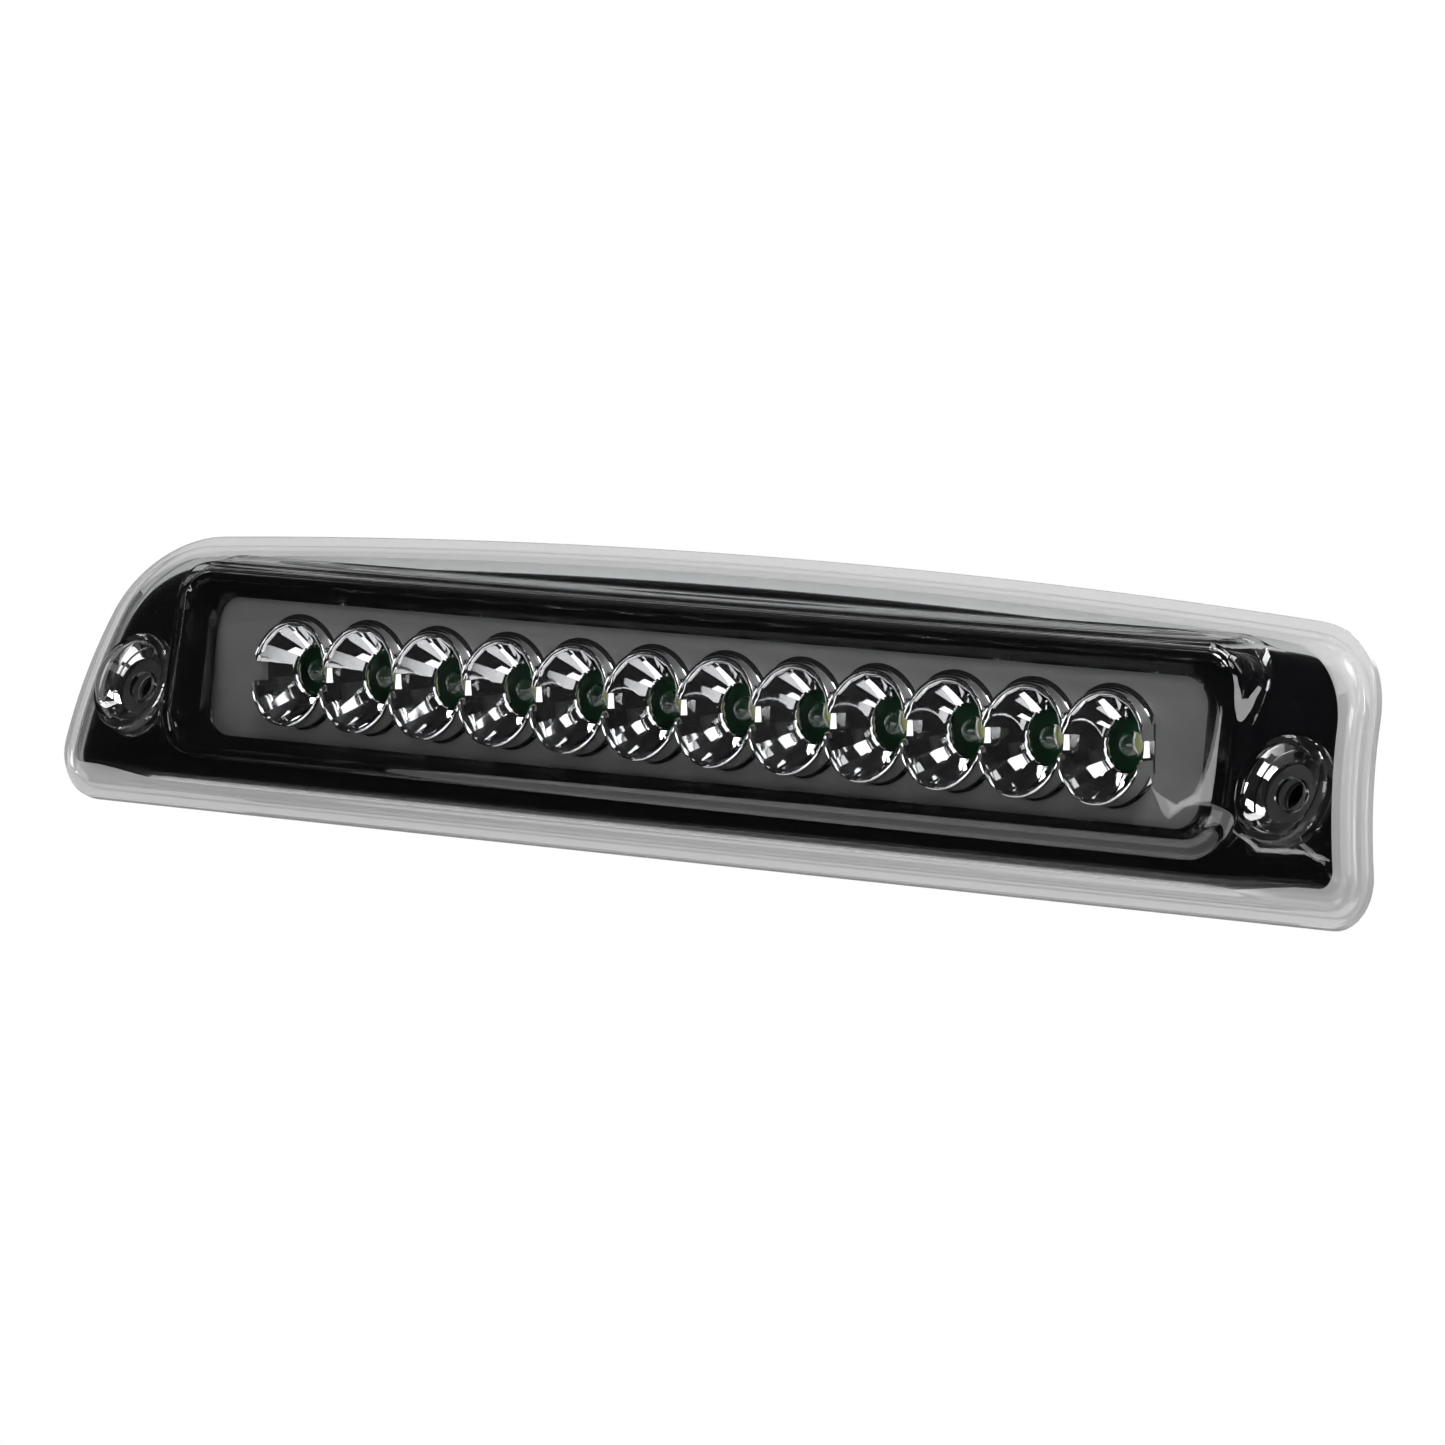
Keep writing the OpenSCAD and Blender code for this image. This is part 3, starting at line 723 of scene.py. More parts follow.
@dataclass
class Lens:
    """The clear lens: border flange, face, raised window and two screw wells.

    Attributes:
        form: the lamp's outlines.
        screw_x: distance of the wells from the middle.
        flat_ends: how far the raised flat reaches past the window's ends, with flat_low and flat_top
            below and above it, and foot_ends, foot_low and foot_top where its slopes meet the face.
        pad_y: depth of the flat against the rims, and dome_steps how many steps its slopes have.
        rim_w: width of the painted-shade rim inside the border, with how much wider it is at the ends and
            top.
        well_clear: how far round the wells' mouths the lens stays clear.
        well_r: radius of the wells' mouths, with their depth, floor and hole.
    """

    form: LampForm
    screw_x: float
    flat_ends: float = 7.6
    foot_ends: float = 12.8
    flat_low: float = 1.5
    foot_low: float = 6.4
    flat_top: float = 5.9
    foot_top: float = 9.2
    pad_y: float = -4.2
    dome_steps: int = 9
    rim_w: float = 1.3
    rim_ends: float = 2.0
    rim_drop: float = 2.0
    well_clear: float = 2.0
    well_r: float = 9.3
    well_depth: float = 2.5
    well_floor: float = 3.1
    hole_r: float = 3.1

    def dome(self, shift: float, depth: float, radius: float) -> list[Ring]:
        """Rings that lead from the raised flat over the window smoothly down to the face.

        Args:
            shift: how far inside the outer skin these rings run.
            depth: depth of the flat.
            radius: the face's layer.

        Returns:
            The rings, from the flat outwards.
        """
        found = []
        for k in range(self.dome_steps + 1):
            part = k / self.dome_steps
            grow = self.flat_ends + (self.foot_ends - self.flat_ends) * part - shift
            low = self.flat_low + (self.foot_low - self.flat_low) * part - shift * 0.5
            top = self.flat_top + (self.foot_top - self.flat_top) * part - shift
            corner = 7.0 + 5.0 * part - shift
            high = self.form.window_ring(grow, low, top, corner, depth)
            foot = self.form.foot_ring(grow, low, top, corner, radius)
            sink = part * part * (3.0 - 2.0 * part)
            found.append([a.lerp(b, sink) for a, b in zip(high, foot)])
        return found

    def outer_rings(self) -> list[Ring]:
        """Rings of the outer skin, from the middle of the window out to the lens's edge."""
        f, w = self.form, self.form.flange_w
        flat = [f.window_ring(-d, -d, -d, max(6.0 - d, 1.0), self.pad_y - c)
                for d, c in ((12.0, 0.25), (6.0, 0.16), (0.0, 0.07))]
        dome = self.dome(0.0, self.pad_y, f.face_r)
        rim = [f.edge_ring(w + d, f.face_r - c, ends, drop) for d, c, ends, drop in (
            (2.6, 0.0, 4.2, 2.2), (1.9, 0.07, 3.0, 2.2), (self.rim_w, 0.25, self.rim_ends, self.rim_drop),
            (0.8, 0.6, 1.2, 1.4), (0.4, 1.05, 0.6, 0.8), (0.12, 1.6, 0.2, 0.3), (0.03, 2.2, 0.0, 0.0))]
        plate = [f.between(dome[-1], rim[0], part, f.face_r) for part in (0.35, 0.7)]
        border = [f.edge_ring(w - d, f.crown_r + c) for d, c in ((0.0, 0.5), (0.25, 0.12), (0.6, 0.0))]
        edge = [f.edge_ring(d, f.crown_r - c) for d, c in ((0.7, 0.0), (0.25, 0.1), (0.0, 0.45))]
        return flat + dome + plate + rim + border + edge

    def inner_rings(self) -> list[Ring]:
        """Rings of the inner skin, from the lens's edge back in to the middle of the window."""
        f, w = self.form, self.form.wall
        back_r = f.crown_r - f.flange_t
        lug_r = back_r - 1.7
        inner_r = f.face_r - w
        rim = f.flange_w
        edge = [f.edge_ring(0.0, back_r + 0.4), f.edge_ring(0.3, back_r), f.edge_ring(rim - 0.3, back_r),
                f.edge_ring(rim, back_r - 0.3), f.edge_ring(rim, lug_r + 0.2),
                f.edge_ring(rim + 0.2, lug_r)]
        skirt = [f.edge_ring(rim + w - 0.2, lug_r), f.edge_ring(rim + w, lug_r + 0.2),
                 f.edge_ring(rim + w, inner_r - 1.3), f.edge_ring(rim + w + 0.3, inner_r - 0.7, 0.6),
                 f.edge_ring(rim + w + 0.9, inner_r - 0.2, 1.8), f.edge_ring(rim + w + 1.8, inner_r, 2.6)]
        dome = self.dome(1.2, self.pad_y + w, inner_r)
        plate = [f.between(dome[-1], skirt[-1], part, inner_r) for part in (0.7, 0.35)]
        roof = [f.window_ring(-d, -d, -d, max(6.0 - d, 1.0), self.pad_y + w - c) for d, c in (
            (1.5, 0.07), (7.0, 0.14), (12.5, 0.2))]
        return edge + skirt + plate + dome[::-1] + roof

    def well_tool(self, side: int, profile: Sequence[Point2]) -> bpy.types.Object:
        """A turned tool on a well's axis.

        Args:
            side: -1 for the left well, 1 for the right.
            profile: closed profile of (radius, depth) points behind the face.

        Returns:
            The tool.
        """
        f = self.form
        tool = Shape()
        centre = Vector((side * self.screw_x, f.curve_y(0.0, f.face_r), 0.0))
        tool.turned(profile, centre, 72, Matrix.Identity(4))
        return tool.done("well_tool", CLEAR_LENS)

    def build(self) -> bpy.types.Object:
        """Builds the lens.

        Returns:
            The lens.
        """
        shell = Shape()
        shell.skin(self.outer_rings() + self.inner_rings(), cap_first=True, cap_last=True)
        lens = shell.done("outer_lens_clear", CLEAR_LENS)
        r, deep, hole = self.well_r, self.well_depth, self.hole_r
        back = deep + self.well_floor
        opening = [(0, -6), (r + 1.1, -6), (r + 1.1, 4.0), (0, 4.0)]
        lip = [(hole, back), (hole, deep + 0.15), (hole + 0.25, deep), (r - 3.9, deep),
               (r - 3.5, deep - 0.12), (r - 3.2, deep - 0.5), (r - 0.9, 0.0), (r - 0.5, -0.62),
               (r - 0.1, -0.82), (r + 0.45, -0.84), (r + 0.95, -0.62), (r + 1.25, -0.2), (r + 1.3, 0.5),
               (r + 1.3, back - 0.3), (r + 1.0, back), (hole, back)]
        for side in (-1, 1):
            carve(lens, self.well_tool(side, opening), "DIFFERENCE")
            carve(lens, self.well_tool(side, lip), "UNION")
        smooth_again(lens, 28.0)
        self.paint_edge_shade(lens)
        return lens

    def paint_edge_shade(self, lens: bpy.types.Object) -> None:
        """Gives the lens's border and rim a greyer, part-opaque copy of its finish, as painted shade for
        the border's grey look.

        Args:
            lens: the finished lens.
        """
        f = self.form
        ring = f.edge_ring(f.flange_w + self.rim_w, f.face_r, self.rim_ends, self.rim_drop)
        rim = [Vector((p.x, p.z)) for p in ring]
        lens.data.materials.append(SHADED_LENS_EDGE.make())
        for face in lens.data.polygons:
            x, _, z = face.center / MM
            at_well = math.hypot(abs(x) - self.screw_x, z) < self.well_r + self.well_clear
            if not at_well and not encloses(rim, x, z):
                # Painted shade: border and rim faces get the greyer copy of the clear lens.
                face.material_index = 1

    def dress(self) -> None:
        """Builds the lens and shows it in place of its CAD node."""
        settle(self.build(), "clear_lens", "outer_lens")


# ---- bezel ----


@dataclass
class Bezel:
    """The gloss black frame: a curved plate that rises to a ridge and slopes in to the window.

    Attributes:
        form: the lamp's outlines.
        screw_x: distance of the screw wells from the middle.
        inset: how far inside the lens's edge it ends, and drop how much further its top edge does.
        ridge_y: depth of the ridge, and lip_y that of the window's edge, behind the rims' plane.
        wall: its thickness.
        well_clear: radius of its holes round the screw wells.
    """

    form: LampForm
    screw_x: float
    inset: float = 5.2
    drop: float = 2.4
    ridge_y: float = -1.2
    lip_low: float = 2.6
    lip_top: float = 1.1
    wall: float = 1.6
    well_clear: float = 11.0

    def lip_ring(self, grow: float, deeper: float, corner: float) -> Ring:
        """Gives a ring round the window's edge, whose plane leans with the reveal.

        Args:
            grow: how far the ring lies outside the window.
            deeper: how far it lies behind the edge.
            corner: radius of its corners.

        Returns:
            The ring's points in the lamp's frame.
        """
        f = self.form
        place = f.window_frame
        span = f.window_top - f.window_low
        rings = []
        for p in f.box_outline(grow, grow, grow, corner):
            part = (p.y - f.window_low) / span
            depth = self.lip_low + (self.lip_top - self.lip_low) * part + deeper
            rings.append(place @ Vector((p.x, depth, p.y)))
        return rings

    def front_rings(self) -> list[Ring]:
        """Rings of the shown face, from the outer edge in to the window."""
        f = self.form
        out_r = f.face_r - f.wall - 0.3
        plate = [f.edge_ring(self.inset + d, out_r - c, e, self.drop) for d, c, e in (
            (0.0, 4.5, 0.0), (0.0, 2.0, 0.0), (0.1, 1.5, 0.3), (0.4, 0.95, 0.9), (0.9, 0.5, 1.8),
            (1.5, 0.18, 2.8), (2.2, 0.0, 4.0))]
        foot = [f.foot_ring(11.0, 4.9, 6.4, 10.0, out_r), f.foot_ring(10.3, 4.5, 5.4, 9.0, out_r + 0.2)]
        plate += [f.between(plate[-1], foot[0], part, out_r) for part in (0.35, 0.7)]
        rise = [f.window_ring(9.75, 4.3, 4.75, 8.4, 0.2), f.window_ring(9.6, 4.1, 4.55, 8.2, -0.6),
                f.window_ring(9.3, 3.9, 4.3, 8.0, -1.05), f.window_ring(8.8, 3.5, 3.9, 7.6, self.ridge_y)]
        crest = [f.window_ring(8.0, 2.9, 3.4, 7.2, self.ridge_y + 0.05),
                 f.window_ring(7.4, 2.5, 3.0, 7.0, -0.75)]
        reveal = [f.window_ring(7.1, 2.35, 2.8, 6.9, -0.3), self.lip_ring(1.9, -1.0, 6.6),
                  self.lip_ring(0.25, -0.12, 6.1), self.lip_ring(0.0, 0.25, 6.0)]
        return plate + foot + rise + crest + reveal

    def back_rings(self) -> list[Ring]:
        """Rings of the hidden face, from the window back out to the edge."""
        f, w = self.form, self.wall
        in_r = f.face_r - f.wall - 0.3 - w
        return [self.lip_ring(0.3, 0.5, 6.2), self.lip_ring(2.2, 0.35, 6.6),
                f.window_ring(7.2, 2.4, 2.9, 7.0, 1.0), f.window_ring(8.1, 2.8, 3.2, 7.0, 1.6),
                f.foot_ring(8.4, 3.0, 3.4, 7.4, in_r), f.edge_ring(self.inset + 2.6, in_r, 3.0, self.drop),
                f.edge_ring(self.inset + 1.0, in_r - 0.9, 0.5, self.drop),
                f.edge_ring(self.inset + 0.8, in_r - 2.6, 0.0, self.drop)]

    def build(self) -> bpy.types.Object:
        """Builds the bezel.

        Returns:
            The bezel.
        """
        plate = Shape()
        plate.skin(self.front_rings() + self.back_rings(), closed=True)
        bezel = plate.done("bezel_gloss", GLOSS_BLACK, 30.0)
        for side in (-1, 1):
            tool = Shape()
            tool.turned([(0, -30), (self.well_clear, -30), (self.well_clear, 0), (0, 0)],
                        Vector((side * self.screw_x, 0.0, 0.0)), 72, Matrix.Identity(4))
            carve(bezel, tool.done("well_tool", GLOSS_BLACK), "DIFFERENCE")
        smooth_again(bezel, 30.0)
        return bezel

    def dress(self) -> None:
        """Builds the bezel and shows it in place of its CAD node."""
        settle(self.build(), "gloss_black", "bezel")


# ---- cups and diodes ----


@dataclass
class CupRow:
    """The row of reflector cups, each with a faceted bowl, cut flat and slotted beside its neighbours.

    Attributes:
        form: the lamp's outlines.
        count: how many cups, and pitch the distance between them.
        radius: a cup's outer radius, with mouth the bowl's and hole its floor's.
        depth: the bowl's depth, and base the panel's depth behind the rims.
        petals: how many facets go round a bowl, each of so many steps, and levels how many go down it.
        slot_low: lower edge of the slots beside a cup, slot_top their upper edge and slot_in their distance
            from the cup's middle.
    """

    form: LampForm
    count: int = 12
    pitch: float = 20.0
    radius: float = 11.0
    mouth: float = 9.85
    hole: float = 5.0
    depth: float = 7.8
    base: float = 4.3
    petals: int = 16
    petal_steps: int = 6
    levels: int = 12
    slot_low: float = -2.0
    slot_top: float = 1.7
    slot_in: float = 8.1

    def places(self) -> list[float]:
        """Distance of each cup from the middle."""
        return [(i - (self.count - 1) / 2) * self.pitch for i in range(self.count)]

    def ring(self, radius: float, y: float, fade: float, faceted: bool = False) -> Ring:
        """One ring of a cup about its own axis, with the rim's end cut level with the window.

        Args:
            radius: the ring's radius, out to its corners.
            y: its depth behind the rims.
            fade: the depth at which the rim's slant has faded out.
            faceted: gives it a flat side for each petal.

        Returns:
            The ring.
        """
        slant = math.tan(self.form.cup_aim) * max(0.0, 1.0 - max(y, 0.0) / fade)
        found = []
        for k in range(self.petals * self.petal_steps):
            turn = math.tau * (k / self.petal_steps - 0.5) / self.petals
            reach = radius
            if faceted:
                off = math.tau * ((k % self.petal_steps) / self.petal_steps - 0.5) / self.petals
                reach *= math.cos(math.pi / self.petals) / math.cos(off)
            x, z = reach * math.cos(turn), reach * math.sin(turn)
            found.append(Vector((x, y + z * slant, z)))
        return found

    def rings(self) -> list[Ring]:
        """Rings of a whole cup, from its foot over the rim into the bowl and back to the foot."""
        r, foot = self.radius, self.base
        wall = [(r + 1.0, foot + 0.05), (r + 0.97, foot - 0.3), (r + 0.75, foot - 0.55),
                (r + 0.4, foot - 0.72), (r + 0.1, foot - 1.0), (r, foot - 1.5), (r - 0.03, 0.9),
                (r - 0.08, 0.35), (r - 0.2, 0.09), (r - 0.4, 0.0), (r - 0.58, 0.1), (r - 0.68, 0.36),
                (r - 0.78, 0.5), (r - 0.95, 0.5)]
        found = [self.ring(radius, y, foot) for radius, y in wall]
        start = 0.62
        for k in range(self.levels + 1):
            part = k / self.levels
            radius = math.sqrt(self.mouth ** 2 - (self.mouth ** 2 - self.hole ** 2) * part)
            found.append(self.ring(radius, start + (self.depth - start) * part, self.depth, faceted=True))
        tail = [(self.hole - 0.12, self.depth + 0.35), (self.hole - 0.12, self.depth + 1.1),
                (self.hole + 1.4, self.depth + 1.2)]
        return found + [self.ring(radius, y, self.depth) for radius, y in tail]

    def block(self, low: tuple[float, float, float], high: tuple[float, float, float]) -> bpy.types.Object:
        """Makes a box between two corners, to cut a cup with.

        Args:
            low: the corner with the lowest coordinates.
            high: the corner with the highest.

        Returns:
            The box, which `carve` uses up.
        """
        bm = bmesh.new()
        bmesh.ops.create_cube(bm, size=1.0)
        size = Vector(high) - Vector(low)
        bmesh.ops.scale(bm, vec=size * MM, verts=bm.verts)
        bmesh.ops.translate(bm, vec=(Vector(low) + size / 2) * MM, verts=bm.verts)
        mesh = bpy.data.meshes.new("block")
        bm.to_mesh(mesh)
        bm.free()
        made = bpy.data.objects.new("block", mesh)
        bpy.context.scene.collection.objects.link(made)
        return made

    def cup(self) -> bpy.types.Object:
        """Builds one cup about its own axis.

        Returns:
            The cup.
        """
        body = Shape()
        body.skin(self.rings(), closed=True)
        cup = body.done("cup", CHROME)
        half, far = self.pitch / 2, self.radius + 4.0
        for side in (-1, 1):
            flat = sorted((side * half, side * far))
            carve(cup, self.block((flat[0], -6.0, -far), (flat[1], 12.0, far)), "DIFFERENCE")
            slot = sorted((side * self.slot_in, side * far))
            carve(cup, self.block((slot[0], -6.0, self.slot_low), (slot[1], self.base, self.slot_top)),
                  "DIFFERENCE")
        return cup

    def crease(self, bm: bmesh.types.BMesh) -> None:
        """Leaves the petals' edges crisp and shades the rest of a cup smooth.

        Args:
            bm: the cup about its own axis.
        """
        for face in bm.faces:
            face.smooth = True
        for edge in bm.edges:
            a, b = (math.atan2(v.co.z, v.co.x) for v in edge.verts)
            along = abs(math.remainder(a - b, math.tau)) < math.radians(0.6)
            limit = math.radians(6.0 if along else 40.0)
            edge.smooth = len(edge.link_faces) == 2 and edge.calc_face_angle(0.0) < limit

    def dress(self) -> None:
        """Builds the cups and shows them in place of the CAD node."""
        cup = self.cup()
        bm = bmesh.new()
        bm.from_mesh(cup.data)
        self.crease(bm)
        bmesh.ops.transform(bm, matrix=metres(self.form.beam_frame), verts=bm.verts)
        first = bm.verts[:] + bm.edges[:] + bm.faces[:]
        places = self.places()
        for x in places[1:]:
            copy = bmesh.ops.duplicate(bm, geom=first)["geom"]
            verts = [v for v in copy if isinstance(v, bmesh.types.BMVert)]
            bmesh.ops.translate(bm, vec=((x - places[0]) * MM, 0, 0), verts=verts)
        bmesh.ops.translate(bm, vec=(places[0] * MM, 0, 0), verts=bm.verts)
        bm.to_mesh(cup.data)
        bm.free()
        cup.name = "reflector_cups_bright"
        settle(cup, "chrome_plating", "reflector_cups")


@dataclass
class Diode:
    """One round diode: a clear domed body with its lead frame and chip inside.

    Attributes:
        form: the lamp's outlines.
        x: distance from the middle.
        number: its number in the row.
        board: depth of the board behind the rims.
        radius: radius of the dome, and length from the foot to the dome's top.
        chip_up: height of the chip above the foot.
        dome_steps: how many steps the dome's curve has.
    """

    form: LampForm
    x: float
    number: int
    board: float = 15.5
    radius: float = 2.5
    length: float = 8.6
    chip_up: float = 4.4
    dome_steps: int = 10

    def dome(self) -> bpy.types.Object:
        """Builds the clear body."""
        top = self.board - self.length
        r = self.radius
        turns = [math.pi / 2 * k / self.dome_steps for k in range(self.dome_steps + 1)]
        profile = [(r * math.sin(a), top + r - r * math.cos(a)) for a in turns]
        foot = self.board
        profile += [(r, foot - 1.25), (r + 0.1, foot - 1.05), (r + 0.4, foot - 1.0), (r + 0.4, foot - 0.1),
                    (r + 0.3, foot), (0, foot)]
        body = Shape()
        body.turned(profile, Vector((self.x, 0, 0)), 40, self.form.beam_frame)
        return body.done(f"led_{self.number:02d}_dome", EPOXY, 40.0)

    def core(self) -> bpy.types.Object:
        """Builds the cup-shaped anvil and the post inside the body."""
        foot = self.board
        tip = foot - self.chip_up
        anvil = [(0, tip + 0.9), (0.55, tip + 0.85), (0.85, tip), (1.02, tip), (1.05, tip + 1.0),
                 (0.55, tip + 1.8), (0.36, foot - 0.2), (0, foot - 0.2)]
        core = Shape()
        core.turned(anvil, Vector((self.x - 0.35, 0, 0)), 20, self.form.beam_frame)
        post = [(0, tip + 0.3), (0.3, tip + 0.4), (0.32, tip + 1.2), (0.3, foot - 0.2), (0, foot - 0.2)]
        core.turned(post, Vector((self.x + 1.25, 0, 0)), 16, self.form.beam_frame)
        return core.done(f"led_{self.number:02d}_frame", LEAD_FRAME, 40.0)

    def chip(self) -> bpy.types.Object:
        """Builds the tinted bed that the chip sits in."""
        tip = self.board - self.chip_up
        bed = [(0, tip - 0.25), (0.45, tip - 0.18), (0.78, tip + 0.05), (0.84, tip + 0.2),
               (0.55, tip + 0.7),
               (0, tip + 0.75)]
        glow = Shape()
        glow.turned(bed, Vector((self.x - 0.35, 0, 0)), 24, self.form.beam_frame)
        return glow.done(f"led_{self.number:02d}_chip", DIODE_CHIP, 40.0)

    def dress(self) -> None:
        """Builds the diode and shows it in place of its CAD node."""
        settle(self.dome(), "led_epoxy", f"led_{self.number:02d}")
        settle(self.core(), "tinned_wire")
        settle(self.chip(), "led_epoxy")


# ---- hidden parts ----


@dataclass
class Rear:
    """Housing, gasket, board and all that sits behind the window."""

    rounded: tuple[tuple[str, Finish, str, float], ...] = (
        ("reflector_panel", SATIN_GREY, "satin_grey", 0.25),
        ("rear_housing", HOUSING, "housing_black", 0.45),
        ("foam_gasket", FOAM, "foam", 0.5),
        ("wire_grommet", RUBBER, "seal_rubber", 0.4),
        ("vent_cap", VENT, "vent_black", 0.3),
        ("sleeve_left", BLACK_STEEL, "sleeve_steel", 0.25),
        ("sleeve_right", BLACK_STEEL, "sleeve_steel", 0.25),
        ("wire_header", NYLON, "header_nylon", 0.2),
        ("resistors", RESISTOR, "resistor_lacquer", 0.45),
        ("blocking_diode", DIODE_CASE, "diode_case", 0.3),
        ("smoothing_capacitor", CAN_SLEEVE, "capacitor_sleeve", 0.4),
        ("bezel_screws", ZINC, "screw_zinc", 0.18),
        ("panel_screws", ZINC, "screw_zinc", 0.14),
        ("reflector_screws", ZINC, "screw_zinc", 0.14),
        ("board_screws", ZINC, "screw_zinc", 0.18),
    )
    plain: tuple[tuple[str, Finish], ...] = (
        ("circuit_board", BOARD),
        ("led_leads", TINNED),
        ("solder_joints", SOLDER),
        ("resistor_leads", TINNED),
        ("diode_leads", TINNED),
        ("capacitor_leads", TINNED),
        ("header_pins", PIN_GOLD),
        ("sealing_bead", SEALANT),
        ("well_seals", RUBBER),
        ("vent_membrane", MEMBRANE),
    )

    def dress(self) -> None:
        """Rounds the edges of the moulded parts and gives every part its finish."""
        for node, finish, slot, width in self.rounded:
            soften(node, finish, slot, width)
        for node, finish in self.plain:
            dress_node(node, finish)


# ---- studio ----


@dataclass
class Softbox:
    """A soft rectangular lamp aimed at a point, in metres."""

    name: str
    place: tuple[float, float, float]
    aim: tuple[float, float, float]
    wide: float
    high: float
    watts: float

    def build(self) -> None:
        """Adds the lamp."""
        data = bpy.data.lights.new(self.name, "AREA")
        data.shape = "RECTANGLE"
        data.size, data.size_y, data.energy = self.wide, self.high, self.watts
        lamp = bpy.data.objects.new(self.name, data)
        bpy.context.scene.collection.objects.link(lamp)
        lamp.location = self.place
        lamp.rotation_euler = (Vector(self.aim) - Vector(self.place)).to_track_quat("-Z", "Y").to_euler()


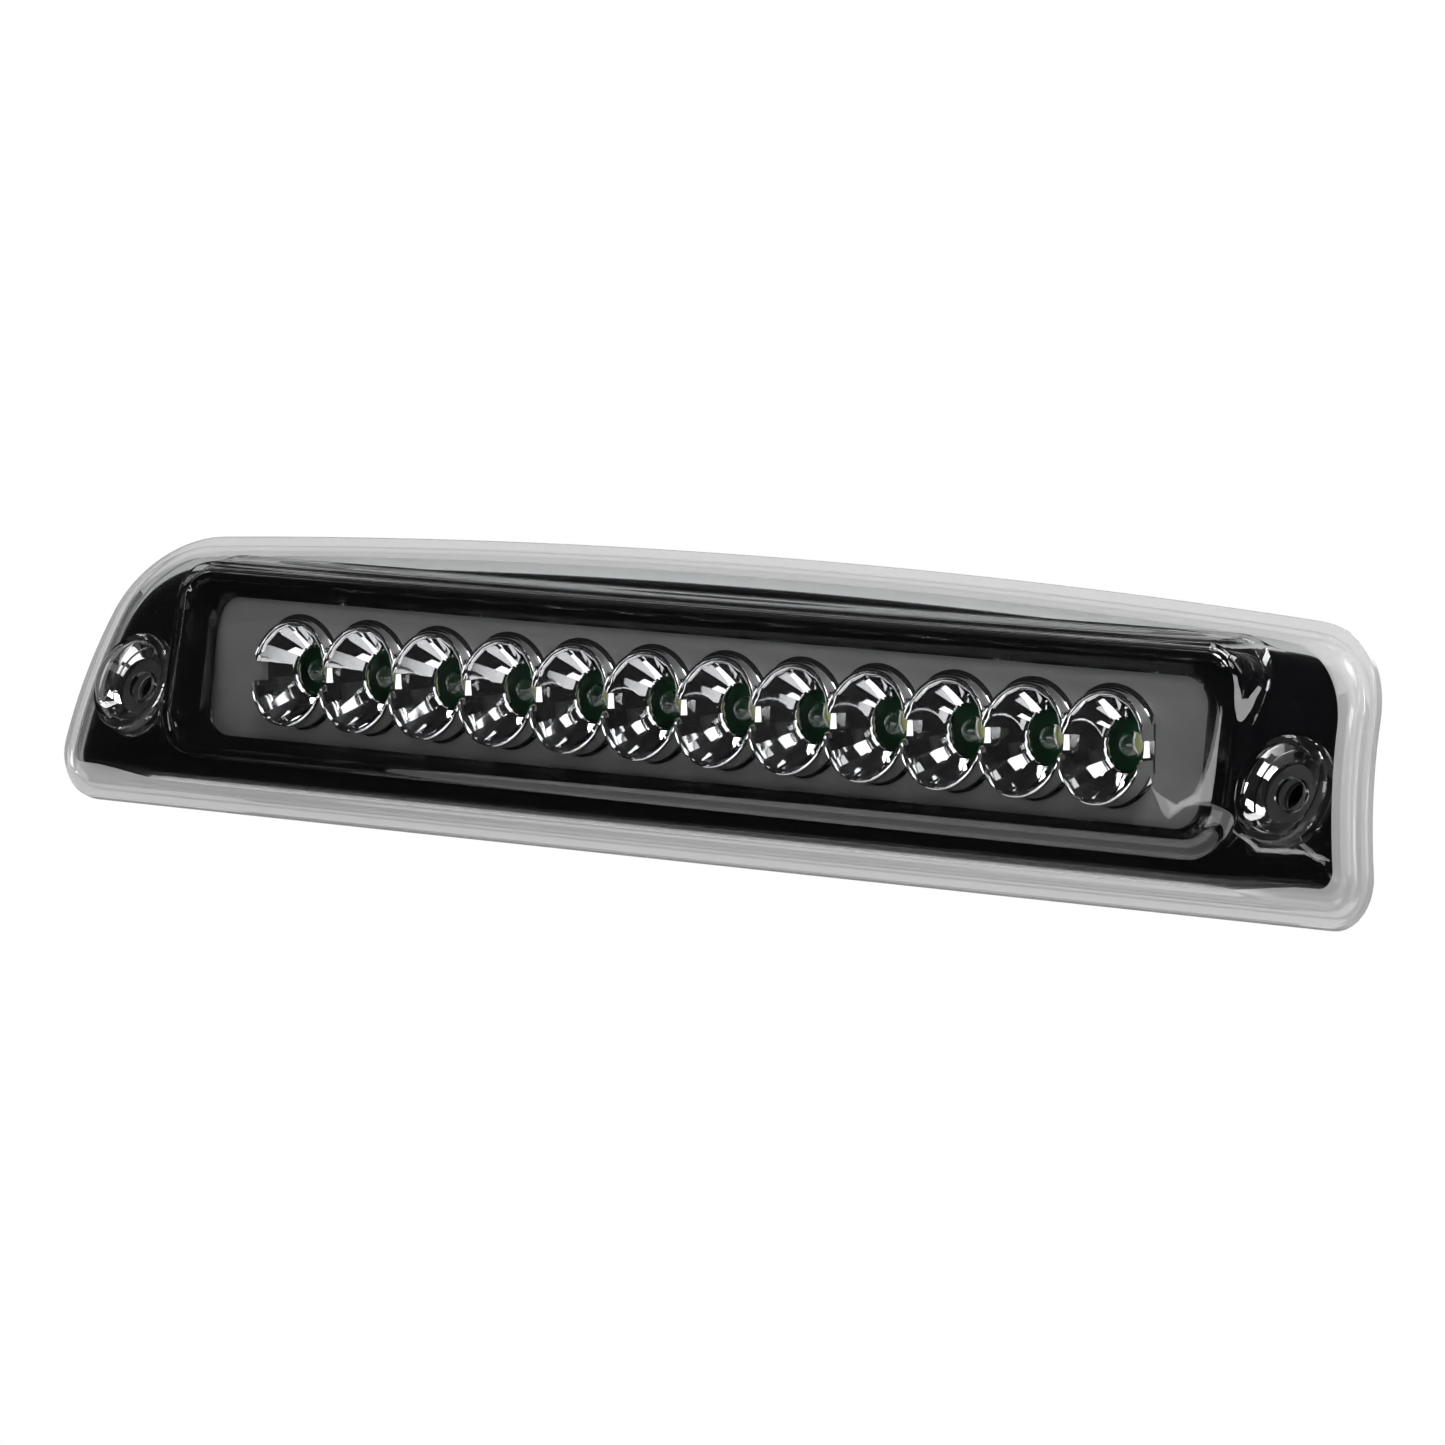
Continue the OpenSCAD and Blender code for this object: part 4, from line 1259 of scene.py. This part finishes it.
@dataclass
class Studio:
    """Camera, pale floor, surroundings and softboxes.

    Attributes:
        azimuth: where the camera stands round the lamp, and elevation how high, in degrees.
        roll: how far it is turned about its own axis, in degrees.
        distance: its distance in metres, and focal its focal length in millimetres.
        floor_z: height of the floor in metres, and table_r the radius of the part of it that is mirrored.
        seen: brightness of the surroundings looked at straight, mirrored in a gloss, and soft on a dull
            face.
    """

    azimuth: float = 43.902
    elevation: float = -10.611
    roll: float = 15.312
    distance: float = 1.7827
    focal: float = 224.22
    floor_z: float = -0.42
    target: tuple[float, float, float] = (-0.00012, 0.0, 0.00628)
    table_r: float = 0.5
    seen: float = 1.0
    mirrored: float = 0.015
    soft: float = 0.45

    def camera(self) -> None:
        """Places the camera."""
        az, el, roll = (math.radians(a) for a in (self.azimuth, self.elevation, self.roll))
        back = Vector((math.sin(az) * math.cos(el), -math.cos(az) * math.cos(el), math.sin(el)))
        side = (-back).cross(Vector((0, 0, 1))).normalized()
        up = side.cross(-back)
        right = side * math.cos(roll) + up * math.sin(roll)
        top = up * math.cos(roll) - side * math.sin(roll)
        data = bpy.data.cameras.new("camera")
        data.lens = self.focal
        data.clip_start, data.clip_end = 0.05, 60.0
        seen = bpy.data.objects.new("camera", data)
        bpy.context.scene.collection.objects.link(seen)
        turn = Matrix((right, top, back)).transposed().to_4x4()
        seen.matrix_world = Matrix.Translation(Vector(self.target) + back * self.distance) @ turn
        bpy.context.scene.camera = seen

    def floor(self) -> None:
        """Lays the wide pale floor, and on it the round that the lamp's bright parts mirror."""
        wide = bmesh.new()
        bmesh.ops.create_grid(wide, x_segments=2, y_segments=2, size=6.0)
        bmesh.ops.translate(wide, vec=(0, 0, self.floor_z - 0.001), verts=wide.verts)
        near = bmesh.new()
        bmesh.ops.create_circle(near, cap_ends=True, segments=96, radius=self.table_r)
        bmesh.ops.translate(near, vec=(0, 0, self.floor_z), verts=near.verts)
        for name, bm in (("floor", wide), ("floor_round", near)):
            mesh = bpy.data.meshes.new(name)
            bm.to_mesh(mesh)
            bm.free()
            ground = bpy.data.objects.new(name, mesh)
            bpy.context.scene.collection.objects.link(ground)
            mesh.materials.append(PALE_FLOOR.make())
            ground.visible_glossy = name == "floor_round"
            ground.visible_transmission = ground.visible_glossy

    def surroundings(self) -> None:
        """White where it is looked at straight or through the clear lens, and dim where it is mirrored."""
        world = bpy.data.worlds.new("studio")
        bpy.context.scene.world = world
        world.use_nodes = True
        nodes, links = world.node_tree.nodes, world.node_tree.links
        nodes.clear()
        path = nodes.new("ShaderNodeLightPath")
        shades = []
        for strength in (self.seen, self.mirrored, self.soft):
            shade = nodes.new("ShaderNodeBackground")
            shade.inputs["Color"].default_value = (1.0, 1.0, 1.0, 1.0)
            shade.inputs["Strength"].default_value = strength
            shades.append(shade.outputs[0])
        result = shades[0]
        for depth, shade in (("Glossy Depth", shades[1]), ("Diffuse Depth", shades[2])):
            bounced = nodes.new("ShaderNodeMath")
            bounced.operation = "GREATER_THAN"
            bounced.inputs[1].default_value = 0.5
            links.new(path.outputs[depth], bounced.inputs[0])
            choice = nodes.new("ShaderNodeMixShader")
            links.new(bounced.outputs[0], choice.inputs[0])
            links.new(result, choice.inputs[1])
            links.new(shade, choice.inputs[2])
            result = choice.outputs[0]
        out = nodes.new("ShaderNodeOutputWorld")
        links.new(result, out.inputs["Surface"])

    def lamps(self) -> None:
        """Sets up the softboxes."""
        for box in (
            Softbox("top", (0.25, -0.35, 1.5), (0, 0, 0), 0.9, 0.4, 20.0),
            Softbox("front", (0.9, -1.7, 1.3), (0, 0, 0), 0.7, 0.5, 26.0),
            Softbox("right", (1.9, -0.5, 0.5), (0.1, 0, 0), 0.35, 0.9, 8.0),
            Softbox("low", (0.35, -0.9, -0.41), (0, 0, 0), 1.1, 0.35, 3.0),
            Softbox("strip", (-0.62, -1.3, -0.225), (0.136, -0.017, -0.003), 0.5, 0.02, 0.12),
            Softbox("back", (-0.3, 1.7, 0.9), (0, 0, 0), 1.6, 1.0, 16.0),
        ):
            box.build()

    def build(self) -> None:
        """Sets up everything round the lamp."""
        self.camera()
        self.floor()
        self.surroundings()
        self.lamps()
        bpy.context.scene.view_settings.view_transform = "Standard"


# ---- whole lamp ----


def make_form() -> tuple[LampForm, float]:
    """Reads the lamp's driving sizes from the frame.

    Returns:
        The lamp's outlines, and the fixing screws' distance from the middle in millimetres.
    """
    low, high = (Vector(c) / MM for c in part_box("outer_lens"))
    sleeve_low, sleeve_high = (Vector(c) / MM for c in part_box("sleeve_right"))
    form = LampForm(width=high.x - low.x, height=high.z - low.z, low_z=low.z, crest_y=0.0)
    half = math.asin(form.height / 2 / form.crown_r)
    form.crest_y = -(form.crown_r * (1 - math.cos(half)) + form.flange_t / math.cos(half) + form.edge_gap)
    return form, (sleeve_low.x + sleeve_high.x) / 2


def main() -> None:
    """Builds the studio and the lamp, piece by piece."""
    logging.basicConfig(level=logging.INFO, format="%(message)s")
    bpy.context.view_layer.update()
    form, screw_x = make_form()
    steps: list[tuple[str, Callable[[], None]]] = [
        ("studio", Studio().build),
        ("lens", Lens(form, screw_x).dress),
        ("bezel", Bezel(form, screw_x).dress),
    ]
    row = CupRow(form)
    steps.append(("cups", row.dress))
    steps += [(f"diode {i + 1}", Diode(form, x, i + 1).dress) for i, x in enumerate(row.places())]
    steps.append(("rear", Rear().dress))
    for name, build in steps:
        build()
        LOG.info("built %s", name)


if __name__ == "__main__":
    main()
